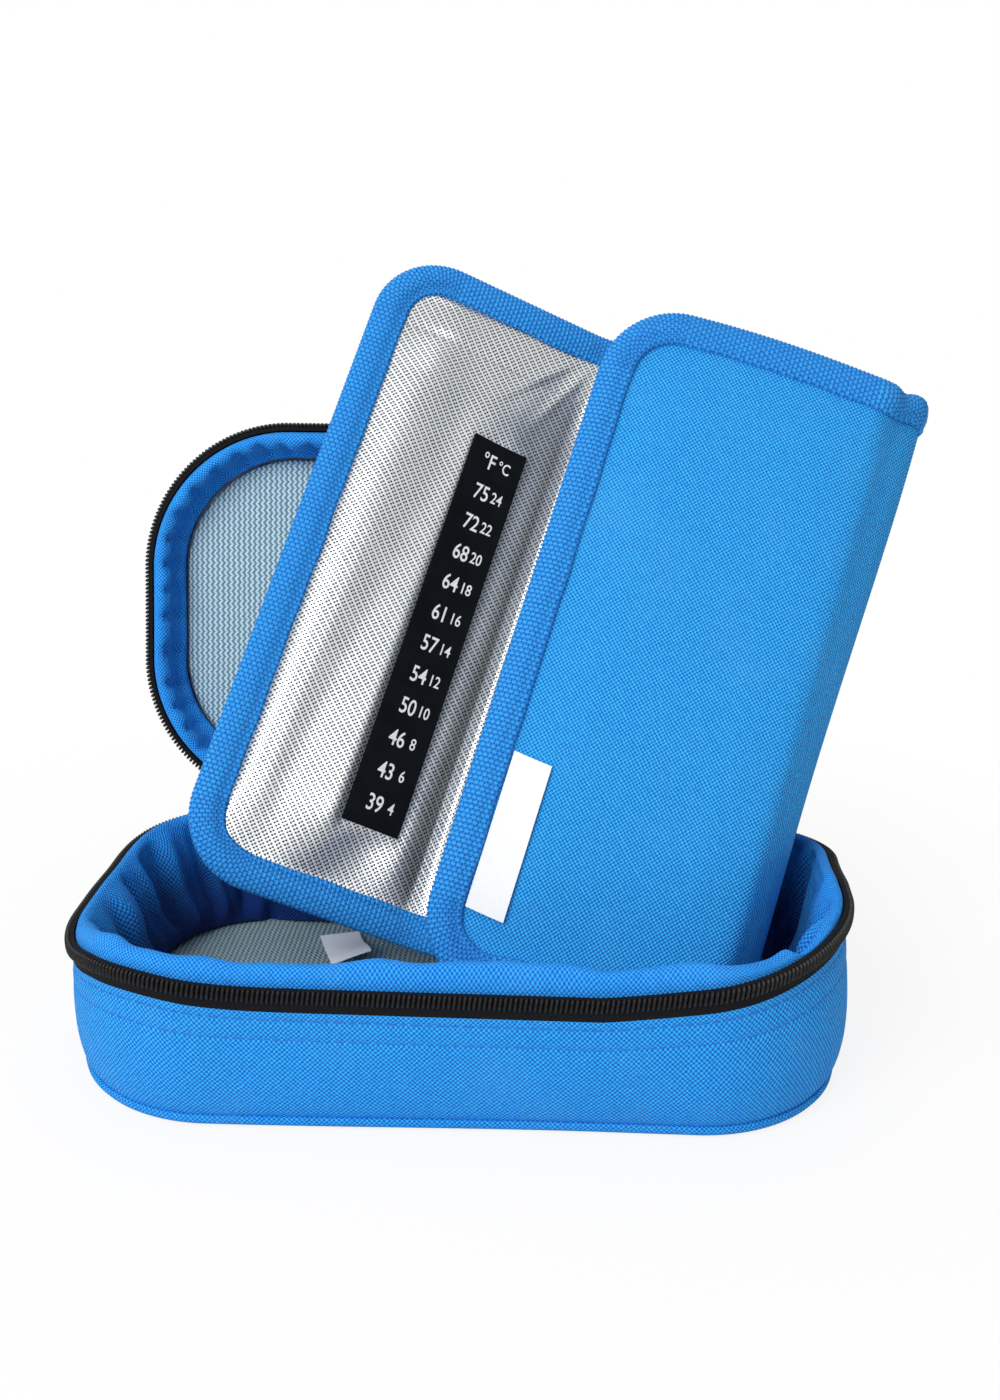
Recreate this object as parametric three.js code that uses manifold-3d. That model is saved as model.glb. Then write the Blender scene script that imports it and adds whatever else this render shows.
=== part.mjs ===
// Insulated travel case for insulin, open, with its folding foil-lined liner standing in it.
// A soft tray and a shallow lid are joined by a cloth hinge at the back and by a zip round
// the other three sides. The liner is a tri-fold wrap: an inner flap with a thermometer strip,
// a back, a narrow spine and a front cover, all bound with tape along their edges.
// Millimetres and degrees, +Z up. X runs along the case, Y from its front to its hinge, and
// the origin is the middle of the tray's underside.
import * as THREE from 'three';
import Module from 'manifold-3d';

// Driving dimensions: the case
const CASE_LENGTH = 210;
const CASE_WIDTH = 116;
const CASE_CORNER = 42;
const TRAY_HEIGHT = 41;
const LID_HEIGHT = 20;
const WALL_DRAFT = 4;
const LID_OPENING = 104;

// Driving dimensions: the layers of the case wall, from outside in
const CLOTH = 1;
const FOAM = 3;
const LINING = 1;
const CLEARANCE = 0.3;
const SEAM_LIP = 2.5;
const FLOOR_PAD = 2;
const LID_PAD = 4;
const PAD_CROWN = 0.8;
const PAD_SHOULDER = 2;

// Driving dimensions: the gathered lining that rolls over the rim
const TRAY_ROLL_RISE = 3.4;
const TRAY_ROLL_REACH = 9.6;
const LID_ROLL_RISE = 2.2;
const LID_ROLL_REACH = 8.6;
const ROLL_TUCK = 5;
const GATHER_LENGTH = 38;
const GATHER_DEPTH = 0.7;
const STEPS_PER_GATHER = 5;

// Driving dimensions: the zip and the hinge
const ZIP_BAND = 6;
const COIL_HEIGHT = 3.4;
const COIL_DEPTH = 1.6;
const COIL_RISE = 0.4;
const COIL_STOP_ANGLE = 14;
const HINGE_LENGTH = 96;
const HINGE_STRIP = 8;
const HINGE_FOLD_RADIUS = 0.8;
const TAPE_TO_HINGE = 4;

// Driving dimensions: the zip sliders and their pull tabs
const SLIDER_ANGLE = 30;
const SLIDER_LENGTH = 10;
const SLIDER_PLATE = 1.8;
const SLIDER_DROP = 5;
const SLIDER_LIP = 1.4;
const SLIDER_EAR = 1.4;
const SLIDER_EAR_DROP = 1.5;
const PULL_NECK = 3.2;
const PULL_NECK_DROP = 4;
const PULL_WIDTH = 7;
const PULL_LENGTH = 24;
const PULL_THICKNESS = 1.4;

// Driving dimensions: the liner, measured along its folds and across its panels
const LINER_LENGTH = 194;
const FLAP_WIDTH = 69;
const BACK_WIDTH = 96;
const SPINE_WIDTH = 20;
const COVER_WIDTH = 82;
const LINER_CORNER = 20;
const LINER_CLOTH = 1;
const LINER_PAD = 5;
const SPINE_PAD = 2.2;
const FOIL = 0.6;
const PAD_CORNER = 8;
const TOP_SEAM = 24;
const LINER_CROWN = 0.5;
const CROWN_INSET = 12;
const FOLD_RADIUS = 0.6;

// Driving dimensions: how far the pads stand back from the folds, so that the panels can turn
const PAD_TO_FLAP_FOLD = 6;
const PAD_TO_SPINE_FOLD = 9.5;
const PAD_TO_COVER_FOLD = 6;
const PAD_TO_EDGE = 12.8;
const SPINE_PAD_INSET = 5.5;

// Driving dimensions: the edge tape, the thermometer strip and the labels
const BINDING_REACH = 8;
const BINDING = 0.9;
const BINDING_TO_FLAP_FOLD = 2.6;
const BINDING_TO_SPINE_FOLD = 5.4;
const BINDING_TO_COVER_FOLD = 2.2;
const STRIP_WIDTH = 18.5;
const STRIP_LENGTH = 119;
const STRIP_FROM_BOTTOM = 29;
const STRIP_FROM_PAD = 2;
const STRIP_THICKNESS = 0.4;
const LABEL_WIDTH = 13;
const LABEL_LENGTH = 45;
const LABEL_FOOT = 15.6;
const LABEL_TO_BINDING = 1.2;
const LABEL_THICKNESS = 0.5;
const TAG_WIDTH = 12;
const TAG_LENGTH = 22;
const TAG_X = -38;
const TAG_FROM_BACK = 24;

// Driving dimensions: how the liner stands in the tray, from its lower inner fold
const LINER_X = -16.4;
const LEAN_GAP = 0.1;
const LINER_TURN_RIGHT = 19.1;
const LINER_LEAN_BACK = 32.5;
const BACK_DIRECTION = -14.4;
const SPINE_TURN = -116.7;
const COVER_TURN = -54.6;
const FLAP_DIRECTION = -168.6;

// How finely the round stretches are divided
const NEAREST_POINT_ANGLE = 0.01;
const LEVEL_CROWDING = 1.5;
const CORNER_STEPS = 8;
const PANEL_CORNER_STEPS = 4;
const ROUND_SIDES = 10;
const WALL_LEVELS = 4;
const ROLL_STEPS = 3;

const radians = THREE.MathUtils.degToRad;

// Places that several pieces share
const HINGE_STANDOFF = CLOTH + 2 * CLEARANCE;
const HINGE_Y = CASE_WIDTH / 2 + HINGE_STANDOFF;
const FLOOR_TOP = CLOTH + FOAM + 2 * CLEARANCE + FLOOR_PAD + PAD_CROWN;
const LID_RISE = radians(180 - LID_OPENING);

const wasm = await Module();
wasm.setup();

// Finishes
const finish = (color, roughness, metalness = 0) =>
  new THREE.MeshStandardMaterial({ color, roughness, metalness });
const BLUE_CLOTH = finish(0x1f63c8, 0.85);
const BLUE_LINING = finish(0x1c56b4, 0.8);
const BLUE_TAPE = finish(0x2a6fd2, 0.8);
const WHITE_FOAM = finish(0xe9e9e4, 0.9);
const GREY_MESH = finish(0xa9afad, 0.95);
const BLACK_TAPE = finish(0x17171a, 0.85);
const BLACK_NYLON = finish(0x0e0e10, 0.45);
const BLACK_METAL = finish(0x1c1c1f, 0.4, 0.6);
const SILVER_FOIL = finish(0xc9ccd0, 0.35, 0.7);
const BLACK_FILM = finish(0x0b0b0d, 0.3);
const WHITE_SATIN = finish(0xf2f2ef, 0.6);

/** A named mesh, placed by the group that it is added to. */
function piece(name, geometry, material) {
  const mesh = new THREE.Mesh(geometry, material);
  mesh.name = name;
  return mesh;
}

/** An indexed geometry from points and triangles, turned so that its faces point outwards. */
function solid(points, triangles) {
  let volume = 0;
  for (const [a, b, c] of triangles) {
    volume += points[a].dot(new THREE.Vector3().crossVectors(points[b], points[c]));
  }
  const outward = volume > 0 ? triangles : triangles.map(([a, b, c]) => [a, c, b]);
  const geometry = new THREE.BufferGeometry().setFromPoints(points);
  geometry.setIndex(outward.flat());
  return geometry;
}

/** Triangles that join two neighbouring loops of the same number of points. */
function band(first, second, count) {
  const triangles = [];
  for (let i = 0; i < count; i += 1) {
    const next = (i + 1) % count;
    triangles.push([first + i, first + next, second + next]);
    triangles.push([first + i, second + next, second + i]);
  }
  return triangles;
}

/** A closed solid through a stack of loops, with its first and last loop closed flat. */
function stack(loops) {
  const count = loops[0].length;
  const points = loops.flat();
  const triangles = [];
  for (let level = 0; level + 1 < loops.length; level += 1) {
    triangles.push(...band(level * count, (level + 1) * count, count));
  }
  const close = (loop, start, flip) => {
    const middle = loop.reduce((sum, point) => sum.add(point), new THREE.Vector3());
    points.push(middle.divideScalar(count));
    const hub = points.length - 1;
    for (let i = 0; i < count; i += 1) {
      const next = (i + 1) % count;
      triangles.push(flip ? [hub, start + next, start + i] : [hub, start + i, start + next]);
    }
  };
  close(loops[0], 0, true);
  close(loops.at(-1), (loops.length - 1) * count, false);
  return solid(points, triangles);
}

/** A section of [offset, height] pairs carried along a path whose points know their normals. */
function sweep(path, sectionAt, closed) {
  const sections = path.map(sectionAt);
  const count = sections[0].length;
  const points = path.flatMap((spot, i) => sections[i].map(([offset, height]) =>
    new THREE.Vector3(spot.x + spot.nx * offset, spot.y + spot.ny * offset, height)));
  const triangles = [];
  const last = closed ? path.length : path.length - 1;
  for (let i = 0; i < last; i += 1) {
    triangles.push(...band(i * count, ((i + 1) % path.length) * count, count));
  }
  if (!closed) {
    const end = (path.length - 1) * count;
    for (const [a, b, c] of endFaces(sections[0])) {
      triangles.push([c, b, a]);
      triangles.push([end + a, end + b, end + c]);
    }
  }
  return solid(points, triangles);
}

/** The triangles that close a section, each running the same way round as the section does. */
function endFaces(section) {
  const outline = section.map(([offset, height]) => new THREE.Vector2(offset, height));
  const turn = Math.sign(THREE.ShapeUtils.area(outline));
  return THREE.ShapeUtils.triangulateShape(outline, []).map((face) => {
    const sameTurn = Math.sign(THREE.ShapeUtils.area(face.map((i) => outline[i]))) === turn;
    return sameTurn ? face : [...face].reverse();
  });
}

/** The case's rim outline as points with outward normals and their distance along it. */
function caseOutline(sideSpacing = Infinity) {
  const halfX = CASE_LENGTH / 2 - CASE_CORNER;
  const halfY = CASE_WIDTH / 2 - CASE_CORNER;
  const centres = [[halfX, halfY], [-halfX, halfY], [-halfX, -halfY], [halfX, -halfY]];
  const path = [];
  centres.forEach(([cx, cy], corner) => {
    for (let step = 0; step <= CORNER_STEPS; step += 1) {
      const angle = (corner + step / CORNER_STEPS) * Math.PI / 2;
      const nx = Math.cos(angle);
      const ny = Math.sin(angle);
      path.push({ x: cx + nx * CASE_CORNER, y: cy + ny * CASE_CORNER, nx, ny });
    }
    const from = path.at(-1);
    const [tx, ty] = centres[(corner + 1) % centres.length];
    const to = { x: tx + from.nx * CASE_CORNER, y: ty + from.ny * CASE_CORNER };
    const parts = Math.ceil(Math.hypot(to.x - from.x, to.y - from.y) / sideSpacing);
    for (let part = 1; part < parts; part += 1) {
      const share = part / parts;
      const x = THREE.MathUtils.lerp(from.x, to.x, share);
      const y = THREE.MathUtils.lerp(from.y, to.y, share);
      path.push({ x, y, nx: from.nx, ny: from.ny });
    }
  });
  return path;
}

/** The part of the rim from one end of the zip round the front to the other. */
function zipPath(stopAngle, backReach) {
  const outline = caseOutline();
  const corner = CORNER_STEPS + 1;
  const halfX = CASE_LENGTH / 2 - CASE_CORNER;
  const halfY = CASE_WIDTH / 2 - CASE_CORNER;
  const spot = (side, angle) => {
    const nx = side * Math.sin(radians(angle));
    const ny = Math.cos(radians(angle));
    return { x: side * halfX + nx * CASE_CORNER, y: halfY + ny * CASE_CORNER, nx, ny };
  };
  const first = radians(stopAngle) + NEAREST_POINT_ANGLE;
  const beyond = (point, side) => side * Math.atan2(point.nx, point.ny) > first;
  const left = outline.slice(corner, 2 * corner).filter((point) => beyond(point, -1));
  const right = outline.slice(0, corner).filter((point) => beyond(point, 1));
  const ends = (side) => {
    const back = { x: side * backReach, y: CASE_WIDTH / 2, nx: 0, ny: 1 };
    return backReach ? [back, spot(side, stopAngle)] : [spot(side, stopAngle)];
  };
  return [...ends(-1), ...left, ...outline.slice(2 * corner), ...right, ...ends(1).reverse()];
}

/** A loop round the case at an offset from the rim outline. */
function caseLoop(offset, z) {
  return caseOutline().map((spot) =>
    new THREE.Vector3(spot.x + spot.nx * offset, spot.y + spot.ny * offset, z));
}

/** How far the wall stands inside the rim outline at a height, for a tray of a given height. */
function draftAt(z, height) {
  const share = (z - SEAM_LIP) / (height - ZIP_BAND - SEAM_LIP);
  return -WALL_DRAFT * (1 - THREE.MathUtils.clamp(share, 0, 1)) ** 2;
}

/** A wall layer's section between two heights, at a depth inside the wall's outer face. */
function wallSection(bottom, top, depth, thickness, height) {
  const levels = Array.from({ length: WALL_LEVELS }, (_, i) =>
    THREE.MathUtils.lerp(bottom, top, (i / (WALL_LEVELS - 1)) ** LEVEL_CROWDING));
  const outer = levels.map((z) => [draftAt(z, height) - depth, z]);
  const inner = levels.map((z) => [draftAt(z, height) - depth - thickness, z]).reverse();
  return [...outer, ...inner];
}

/** The lining's section: a leg behind the zip, the roll over the rim, and the inner wall. */
function liningSection(spot, tray) {
  const { height, rollRise, rollReach, floor } = tray;
  const legOffset = CLOTH + CLEARANCE;
  const legFoot = height - ZIP_BAND / 2 + CLEARANCE;
  const radius = (rollReach - legOffset) / 2;
  const wave = Math.cos(2 * Math.PI * spot.gather);
  const depth = CLOTH + FOAM + 2 * CLEARANCE;
  const face = (inward) => {
    const shell = LINING - inward;
    const line = [[-legOffset - inward, legFoot]];
    for (let step = 0; step <= ROLL_STEPS; step += 1) {
      const angle = Math.PI * step / ROLL_STEPS;
      const swell = GATHER_DEPTH * wave * (1 - Math.cos(angle)) / 2;
      const across = (radius - inward) * Math.cos(angle) - swell;
      const up = (rollRise - inward) * Math.sin(angle) + swell * Math.sin(angle);
      line.push([-legOffset - radius + across, height + up]);
    }
    const waist = height - ROLL_TUCK - rollRise;
    const middle = (waist + floor) / 2;
    const tuck = depth + shell + CLEARANCE;
    line.push([-tuck, waist]);
    line.push([draftAt(middle, height) - depth - shell, middle]);
    line.push([draftAt(floor, height) - depth - shell, floor]);
    return line;
  };
  return [...face(0), ...face(LINING).reverse()];
}

/** The lining's path, with enough points for its gathers. */
function liningPath() {
  const path = caseOutline(GATHER_LENGTH / STEPS_PER_GATHER);
  let travelled = 0;
  path.forEach((spot, i) => {
    const before = path[i ? i - 1 : i];
    travelled += Math.hypot(spot.x - before.x, spot.y - before.y);
    spot.travelled = travelled;
  });
  const round = travelled + Math.hypot(path[0].x - path.at(-1).x, path[0].y - path.at(-1).y);
  const gathers = Math.round(round / GATHER_LENGTH);
  path.forEach((spot) => {
    spot.gather = gathers * spot.travelled / round;
  });
  return path;
}

/** The outer panel of a tray's floor, a shallow dish whose edge turns up to the seam. */
function floorPanel() {
  const turn = SEAM_LIP;
  return stack([
    caseLoop(-WALL_DRAFT - turn, 0),
    caseLoop(-WALL_DRAFT - CLEARANCE, CLOTH),
    caseLoop(-WALL_DRAFT + CLEARANCE, SEAM_LIP),
    caseLoop(-WALL_DRAFT - CLOTH, SEAM_LIP),
    caseLoop(-WALL_DRAFT - CLOTH - turn, CLOTH),
  ]);
}

/** The crowned mesh pad on a tray's floor, inside the foot of the lining. */
function meshPad(floor, thickness, height) {
  const edge = draftAt(floor, height) - CLOTH - FOAM - LINING - 3 * CLEARANCE - GATHER_DEPTH;
  const top = floor + thickness;
  return stack([
    caseLoop(edge - CLEARANCE, floor),
    caseLoop(edge, floor + thickness / 2),
    caseLoop(edge - PAD_SHOULDER, top),
    caseLoop(-CASE_CORNER / 2, top + PAD_CROWN / 2),
    caseLoop(-CASE_CORNER + PAD_SHOULDER, top + PAD_CROWN),
  ]);
}

/** The layers of one half of the case, as an upright tray standing on its own floor. */
function trayHalf(prefix, tray) {
  const { height, pad } = tray;
  const half = new THREE.Group();
  const seam = SEAM_LIP + CLEARANCE;
  const zipFoot = height - ZIP_BAND;
  const foamFloor = CLOTH + CLEARANCE;
  const padFloor = foamFloor + FOAM + CLEARANCE;
  const foamTop = height - ZIP_BAND / 2;
  const foamDepth = CLOTH + CLEARANCE;
  const ring = caseOutline();
  const side = wallSection(seam, zipFoot - CLEARANCE, 0, CLOTH, height);
  const foam = wallSection(padFloor, foamTop, foamDepth, FOAM, height);
  const tape = [[-CLOTH, zipFoot], [0, zipFoot], [0, height], [-CLOTH, height]];
  const coilTop = height + COIL_RISE;
  const coilFoot = coilTop - COIL_HEIGHT;
  const coilBack = CLEARANCE;
  const coilFront = CLEARANCE + COIL_DEPTH;
  const coilEdge = COIL_DEPTH / 3;
  const coil = [
    [coilBack, coilFoot], [coilFront, coilFoot + coilEdge],
    [coilFront, coilTop - coilEdge], [coilBack, coilTop],
  ];
  const foamLoop = -WALL_DRAFT - CLOTH - SEAM_LIP - CLEARANCE;
  const tapePath = zipPath(0, HINGE_LENGTH / 2 + TAPE_TO_HINGE);
  const lining = (spot) => liningSection(spot, { ...tray, floor: padFloor });
  half.add(
    piece(`${prefix}_floor_panel`, floorPanel(), BLUE_CLOTH),
    piece(`${prefix}_side_panel`, sweep(ring, () => side, true), BLUE_CLOTH),
    piece(`${prefix}_floor_foam`,
      stack([caseLoop(foamLoop, foamFloor), caseLoop(foamLoop, foamFloor + FOAM)]), WHITE_FOAM),
    piece(`${prefix}_wall_foam`, sweep(ring, () => foam, true), WHITE_FOAM),
    piece(`${prefix}_lining`, sweep(liningPath(), lining, true), BLUE_LINING),
    piece(`${prefix}_mesh_pad`, meshPad(padFloor, pad, height), GREY_MESH),
    piece(`${prefix}_zip_tape`, sweep(tapePath, () => tape, false), BLACK_TAPE),
    piece(`${prefix}_zip_coil`, sweep(zipPath(COIL_STOP_ANGLE, 0), () => coil, false), BLACK_NYLON),
    hingeStrip(prefix, height),
  );
  return half;
}

/** A box between two corners. */
function block([x0, y0, z0], [x1, y1, z1]) {
  const geometry = new THREE.BoxGeometry(x1 - x0, y1 - y0, z1 - z0);
  return geometry.translate((x0 + x1) / 2, (y0 + y1) / 2, (z0 + z1) / 2);
}

/** The cloth strip sewn over the back wall, one half of the hinge. */
function hingeStrip(prefix, height) {
  const back = CASE_WIDTH / 2 + CLEARANCE;
  const top = height - HINGE_FOLD_RADIUS - CLEARANCE;
  const strip = block(
    [-HINGE_LENGTH / 2, back, top - HINGE_STRIP],
    [HINGE_LENGTH / 2, back + CLOTH, top],
  );
  return piece(`${prefix}_hinge_strip`, strip, BLUE_CLOTH);
}

/** A round fold of cloth along an axis. */
function foldBead(length, radius) {
  return new THREE.CylinderGeometry(radius, radius, length, ROUND_SIDES);
}

/** A geometry as a solid that can be joined. */
function toManifold(geometry) {
  const source = geometry.index ? geometry.toNonIndexed() : geometry;
  const mesh = new wasm.Mesh({
    numProp: 3,
    vertProperties: new Float32Array(source.attributes.position.array),
    triVerts: Uint32Array.from({ length: source.attributes.position.count }, (_, i) => i),
  });
  mesh.merge();
  return new wasm.Manifold(mesh);
}

/** Several overlapping geometries joined into one body. */
function join(...geometries) {
  const body = geometries.map(toManifold).reduce((sum, next) => sum.add(next));
  const mesh = body.getMesh();
  const geometry = new THREE.BufferGeometry();
  geometry.setAttribute('position', new THREE.BufferAttribute(mesh.vertProperties, mesh.numProp));
  geometry.setIndex(new THREE.BufferAttribute(mesh.triVerts, 1));
  return geometry;
}

/** The zip slider: a plate outside the coil, a lip over it and two ears for the pull tab. */
function sliderBody() {
  const back = 2 * CLEARANCE + COIL_DEPTH;
  const front = back + SLIDER_PLATE;
  const lipFoot = COIL_RISE + CLEARANCE;
  const lipTop = lipFoot + SLIDER_LIP;
  const half = SLIDER_LENGTH / 2;
  const earIn = PULL_NECK / 2 + CLEARANCE;
  const earOut = earIn + SLIDER_EAR;
  const sink = SLIDER_PLATE / 2;
  const earFront = front + PULL_NECK / 2 + CLEARANCE + SLIDER_EAR;
  return join(
    block([-half, back, -SLIDER_DROP], [half, front, lipTop]),
    block([-half, -CLOTH + CLEARANCE, lipFoot], [half, front - sink, lipTop]),
    block([earIn, front - sink, -SLIDER_EAR_DROP], [earOut, earFront, lipFoot]),
    block([-earOut, front - sink, -SLIDER_EAR_DROP], [-earIn, earFront, lipFoot]),
  );
}

/** The pull tab hanging from its pivot: a narrow neck, a wide blade and a finger hole. */
function pullTab() {
  const neck = PULL_NECK / 2;
  const blade = PULL_WIDTH / 2;
  const shape = new THREE.Shape();
  shape.moveTo(neck, 0);
  shape.absarc(0, 0, neck, 0, Math.PI, false);
  shape.lineTo(-neck, -PULL_NECK_DROP);
  shape.lineTo(-blade, -PULL_NECK_DROP - blade);
  shape.lineTo(-blade, -PULL_LENGTH + blade);
  shape.absarc(0, -PULL_LENGTH + blade, blade, Math.PI, 2 * Math.PI, false);
  shape.lineTo(blade, -PULL_NECK_DROP - blade);
  shape.lineTo(neck, -PULL_NECK_DROP);
  const hole = new THREE.Path();
  hole.absarc(0, -PULL_LENGTH + blade, blade / 2, 0, 2 * Math.PI, true);
  shape.holes.push(hole);
  const settings = { depth: PULL_THICKNESS, bevelEnabled: false, curveSegments: ROUND_SIDES / 2 };
  const geometry = new THREE.ExtrudeGeometry(shape, settings);
  return geometry.translate(0, 0, -PULL_THICKNESS / 2).rotateX(Math.PI / 2);
}

/** A slider and its pull tab on a back corner of the tray's zip. */
function slider(name, side) {
  const place = new THREE.Group();
  const angle = radians(SLIDER_ANGLE);
  const reach = CASE_CORNER;
  place.position.set(
    side * (CASE_LENGTH / 2 - CASE_CORNER + reach * Math.sin(angle)),
    CASE_WIDTH / 2 - CASE_CORNER + reach * Math.cos(angle),
    TRAY_HEIGHT,
  );
  place.rotation.z = -side * angle;
  const tab = piece(`${name}_pull_tab`, pullTab(), BLACK_METAL);
  tab.position.y = 3 * CLEARANCE + COIL_DEPTH + SLIDER_PLATE + PULL_NECK / 2;
  tab.position.z = -SLIDER_EAR_DROP / 2 + CLEARANCE;
  place.add(piece(`${name}_slider`, sliderBody(), BLACK_METAL), tab);
  return place;
}

/** A panel's outline as [x, z] points: square at its folds, round at its free corners. */
function panelOutline(box, grow) {
  const { x0, x1, z0, z1, foldRadius, freeRadius } = box;
  const corners = [
    [x0 - grow, z0 - grow, 1, 1, foldRadius], [x1 + grow, z0 - grow, -1, 1, freeRadius],
    [x1 + grow, z1 + grow, -1, -1, freeRadius], [x0 - grow, z1 + grow, 1, -1, foldRadius],
  ];
  return corners.flatMap(([x, z, dx, dz, base], corner) => {
    const radius = Math.max(base + grow, CLEARANCE);
    return Array.from({ length: PANEL_CORNER_STEPS + 1 }, (_, step) => {
      const angle = Math.PI + (corner + step / PANEL_CORNER_STEPS) * Math.PI / 2;
      return [x + dx * radius + radius * Math.cos(angle), z + dz * radius + radius * Math.sin(angle)];
    });
  });
}

/** A loop of a panel at a height above its fold plane, on its inner side. */
function panelLoop(box, grow, rise, inner) {
  return panelOutline(box, grow).map(([x, z]) => new THREE.Vector3(x, inner * rise, z));
}

/** The padded core of a panel, crowned on its inner side. */
function panelCore(box, pad, inner) {
  const base = LINER_CLOTH / 2 + CLEARANCE;
  const shoulder = Math.min(PAD_CORNER / 2, pad);
  const crownInset = Math.min(CROWN_INSET, (box.x1 - box.x0) / 3);
  return stack([
    panelLoop(box, 0, base, inner),
    panelLoop(box, -CLEARANCE, base + pad / 2, inner),
    panelLoop(box, -shoulder, base + pad, inner),
    panelLoop(box, -crownInset, base + pad + LINER_CROWN, inner),
  ]);
}

/** The foil lining of a panel: a flat margin that rises over the padded core. */
function panelFoil(edge, box, pad, inner) {
  const base = LINER_CLOTH / 2 + CLEARANCE;
  const shoulder = Math.min(PAD_CORNER / 2, pad);
  const crownInset = Math.min(CROWN_INSET, (box.x1 - box.x0) / 3);
  const above = CLEARANCE;
  const top = above + FOIL;
  return stack([
    panelLoop(box, -crownInset, base + pad + LINER_CROWN + top, inner),
    panelLoop(box, top - shoulder, base + pad + top, inner),
    panelLoop(box, top - CLEARANCE, base + pad / 2 + top, inner),
    panelLoop(box, top + CLEARANCE, base + FOIL, inner),
    panelLoop(edge, 0, base + FOIL, inner),
    panelLoop(edge, 0, base, inner),
    panelLoop(box, above, base, inner),
    panelLoop(box, 0, base + pad / 2 + CLEARANCE, inner),
    panelLoop(box, above - shoulder, base + pad + above, inner),
    panelLoop(box, -crownInset, base + pad + LINER_CROWN + above, inner),
  ]);
}

/** A panel's outer cloth. */
function panelCloth(box) {
  return stack([
    panelLoop(box, 0, -LINER_CLOTH / 2, 1),
    panelLoop(box, 0, LINER_CLOTH / 2, 1),
  ]);
}

/** The folded edge tape's section, open towards the panel, as [offset, rise] pairs. */
function bindingSection(inner) {
  const outside = -LINER_CLOTH / 2 - CLEARANCE;
  const inside = LINER_CLOTH / 2 + 2 * CLEARANCE + FOIL;
  const lip = CLEARANCE + BINDING;
  return [
    [-BINDING_REACH, outside - BINDING], [lip, outside - BINDING],
    [lip, inside + BINDING], [-BINDING_REACH, inside + BINDING],
    [-BINDING_REACH, inside], [CLEARANCE, inside],
    [CLEARANCE, outside], [-BINDING_REACH, outside],
  ].map(([offset, rise]) => [offset, inner * rise]);
}

/** Stands up a body that was swept in plan, so that its plan lies along the panel. */
function standUp(geometry) {
  return geometry.rotateX(Math.PI / 2);
}

/** The edge tape round a free panel: along its foot, its free edge and its top. */
function bindingRound(width, foldGap, inner) {
  const radius = LINER_CORNER;
  const path = [{ x: foldGap, y: 0, nx: 0, ny: -1 }];
  const centres = [[width - radius, radius], [width - radius, LINER_LENGTH - radius]];
  centres.forEach(([cx, cy], corner) => {
    for (let step = 0; step <= PANEL_CORNER_STEPS; step += 1) {
      const angle = (corner - 1 + step / PANEL_CORNER_STEPS) * Math.PI / 2;
      const nx = Math.cos(angle);
      const ny = Math.sin(angle);
      path.push({ x: cx + nx * radius, y: cy + ny * radius, nx, ny });
    }
  });
  path.push({ x: foldGap, y: LINER_LENGTH, nx: 0, ny: 1 });
  return standUp(sweep(path, () => bindingSection(-inner), false));
}

/** A straight run of edge tape along the foot or the top of a panel. */
function bindingRun(from, to, atTop, inner) {
  const y = atTop ? LINER_LENGTH : 0;
  const ny = atTop ? 1 : -1;
  const path = [{ x: from, y, nx: 0, ny }, { x: to, y, nx: 0, ny }];
  return standUp(sweep(path, () => bindingSection(-inner), false));
}

/** The three layers of one liner panel. */
function panelLayers(name, sizes) {
  const { width, inner, pad, padFrom, padTo, foldAtEnd } = sizes;
  const start = FOLD_RADIUS + CLEARANCE;
  const end = foldAtEnd ? width - start : width;
  const corner = foldAtEnd ? CLEARANCE : LINER_CORNER;
  const cloth = {
    x0: start, x1: end, z0: 0, z1: LINER_LENGTH, foldRadius: CLEARANCE, freeRadius: corner,
  };
  const edge = {
    ...cloth, x0: sizes.foilFrom, x1: foldAtEnd ? sizes.foilTo : end - CLEARANCE,
    z0: CLEARANCE, z1: LINER_LENGTH - CLEARANCE,
    freeRadius: foldAtEnd ? CLEARANCE : LINER_CORNER - CLEARANCE,
  };
  const core = {
    x0: padFrom, x1: padTo ?? width - PAD_TO_EDGE, z0: PAD_TO_EDGE, z1: LINER_LENGTH - TOP_SEAM,
    foldRadius: Math.min(PAD_CORNER, pad), freeRadius: Math.min(PAD_CORNER, pad * 2),
  };
  return [
    piece(`${name}_cloth`, panelCloth(cloth), BLUE_CLOTH),
    piece(`${name}_foam`, panelCore(core, pad, inner), WHITE_FOAM),
    piece(`${name}_foil`, panelFoil(edge, core, pad, inner), SILVER_FOIL),
  ];
}

/** A fold of the liner, a round bead along its whole length. */
function linerFold(name) {
  const bead = foldBead(LINER_LENGTH, FOLD_RADIUS).rotateX(Math.PI / 2);
  return piece(name, bead.translate(0, 0, LINER_LENGTH / 2), BLUE_CLOTH);
}

/** The inner flap, with the thermometer strip on its foil. */
function innerFlap() {
  const inner = 1;
  const flap = new THREE.Group();
  const foilFrom = BINDING_TO_FLAP_FOLD;
  const stripFrom = PAD_TO_FLAP_FOLD + STRIP_FROM_PAD;
  const pads = { pad: LINER_PAD, padFrom: PAD_TO_FLAP_FOLD };
  const rise = LINER_CLOTH / 2 + LINER_PAD + LINER_CROWN + FOIL + 3 * CLEARANCE;
  const strip = block(
    [stripFrom, rise, STRIP_FROM_BOTTOM],
    [stripFrom + STRIP_WIDTH, rise + STRIP_THICKNESS, STRIP_FROM_BOTTOM + STRIP_LENGTH],
  );
  flap.add(
    ...panelLayers('inner_flap', { width: FLAP_WIDTH, inner, foilFrom, ...pads }),
    piece('inner_flap_binding', bindingRound(FLAP_WIDTH, BINDING_TO_FLAP_FOLD, inner), BLUE_TAPE),
    piece('thermometer_strip', strip, BLACK_FILM),
  );
  return flap;
}

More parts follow.
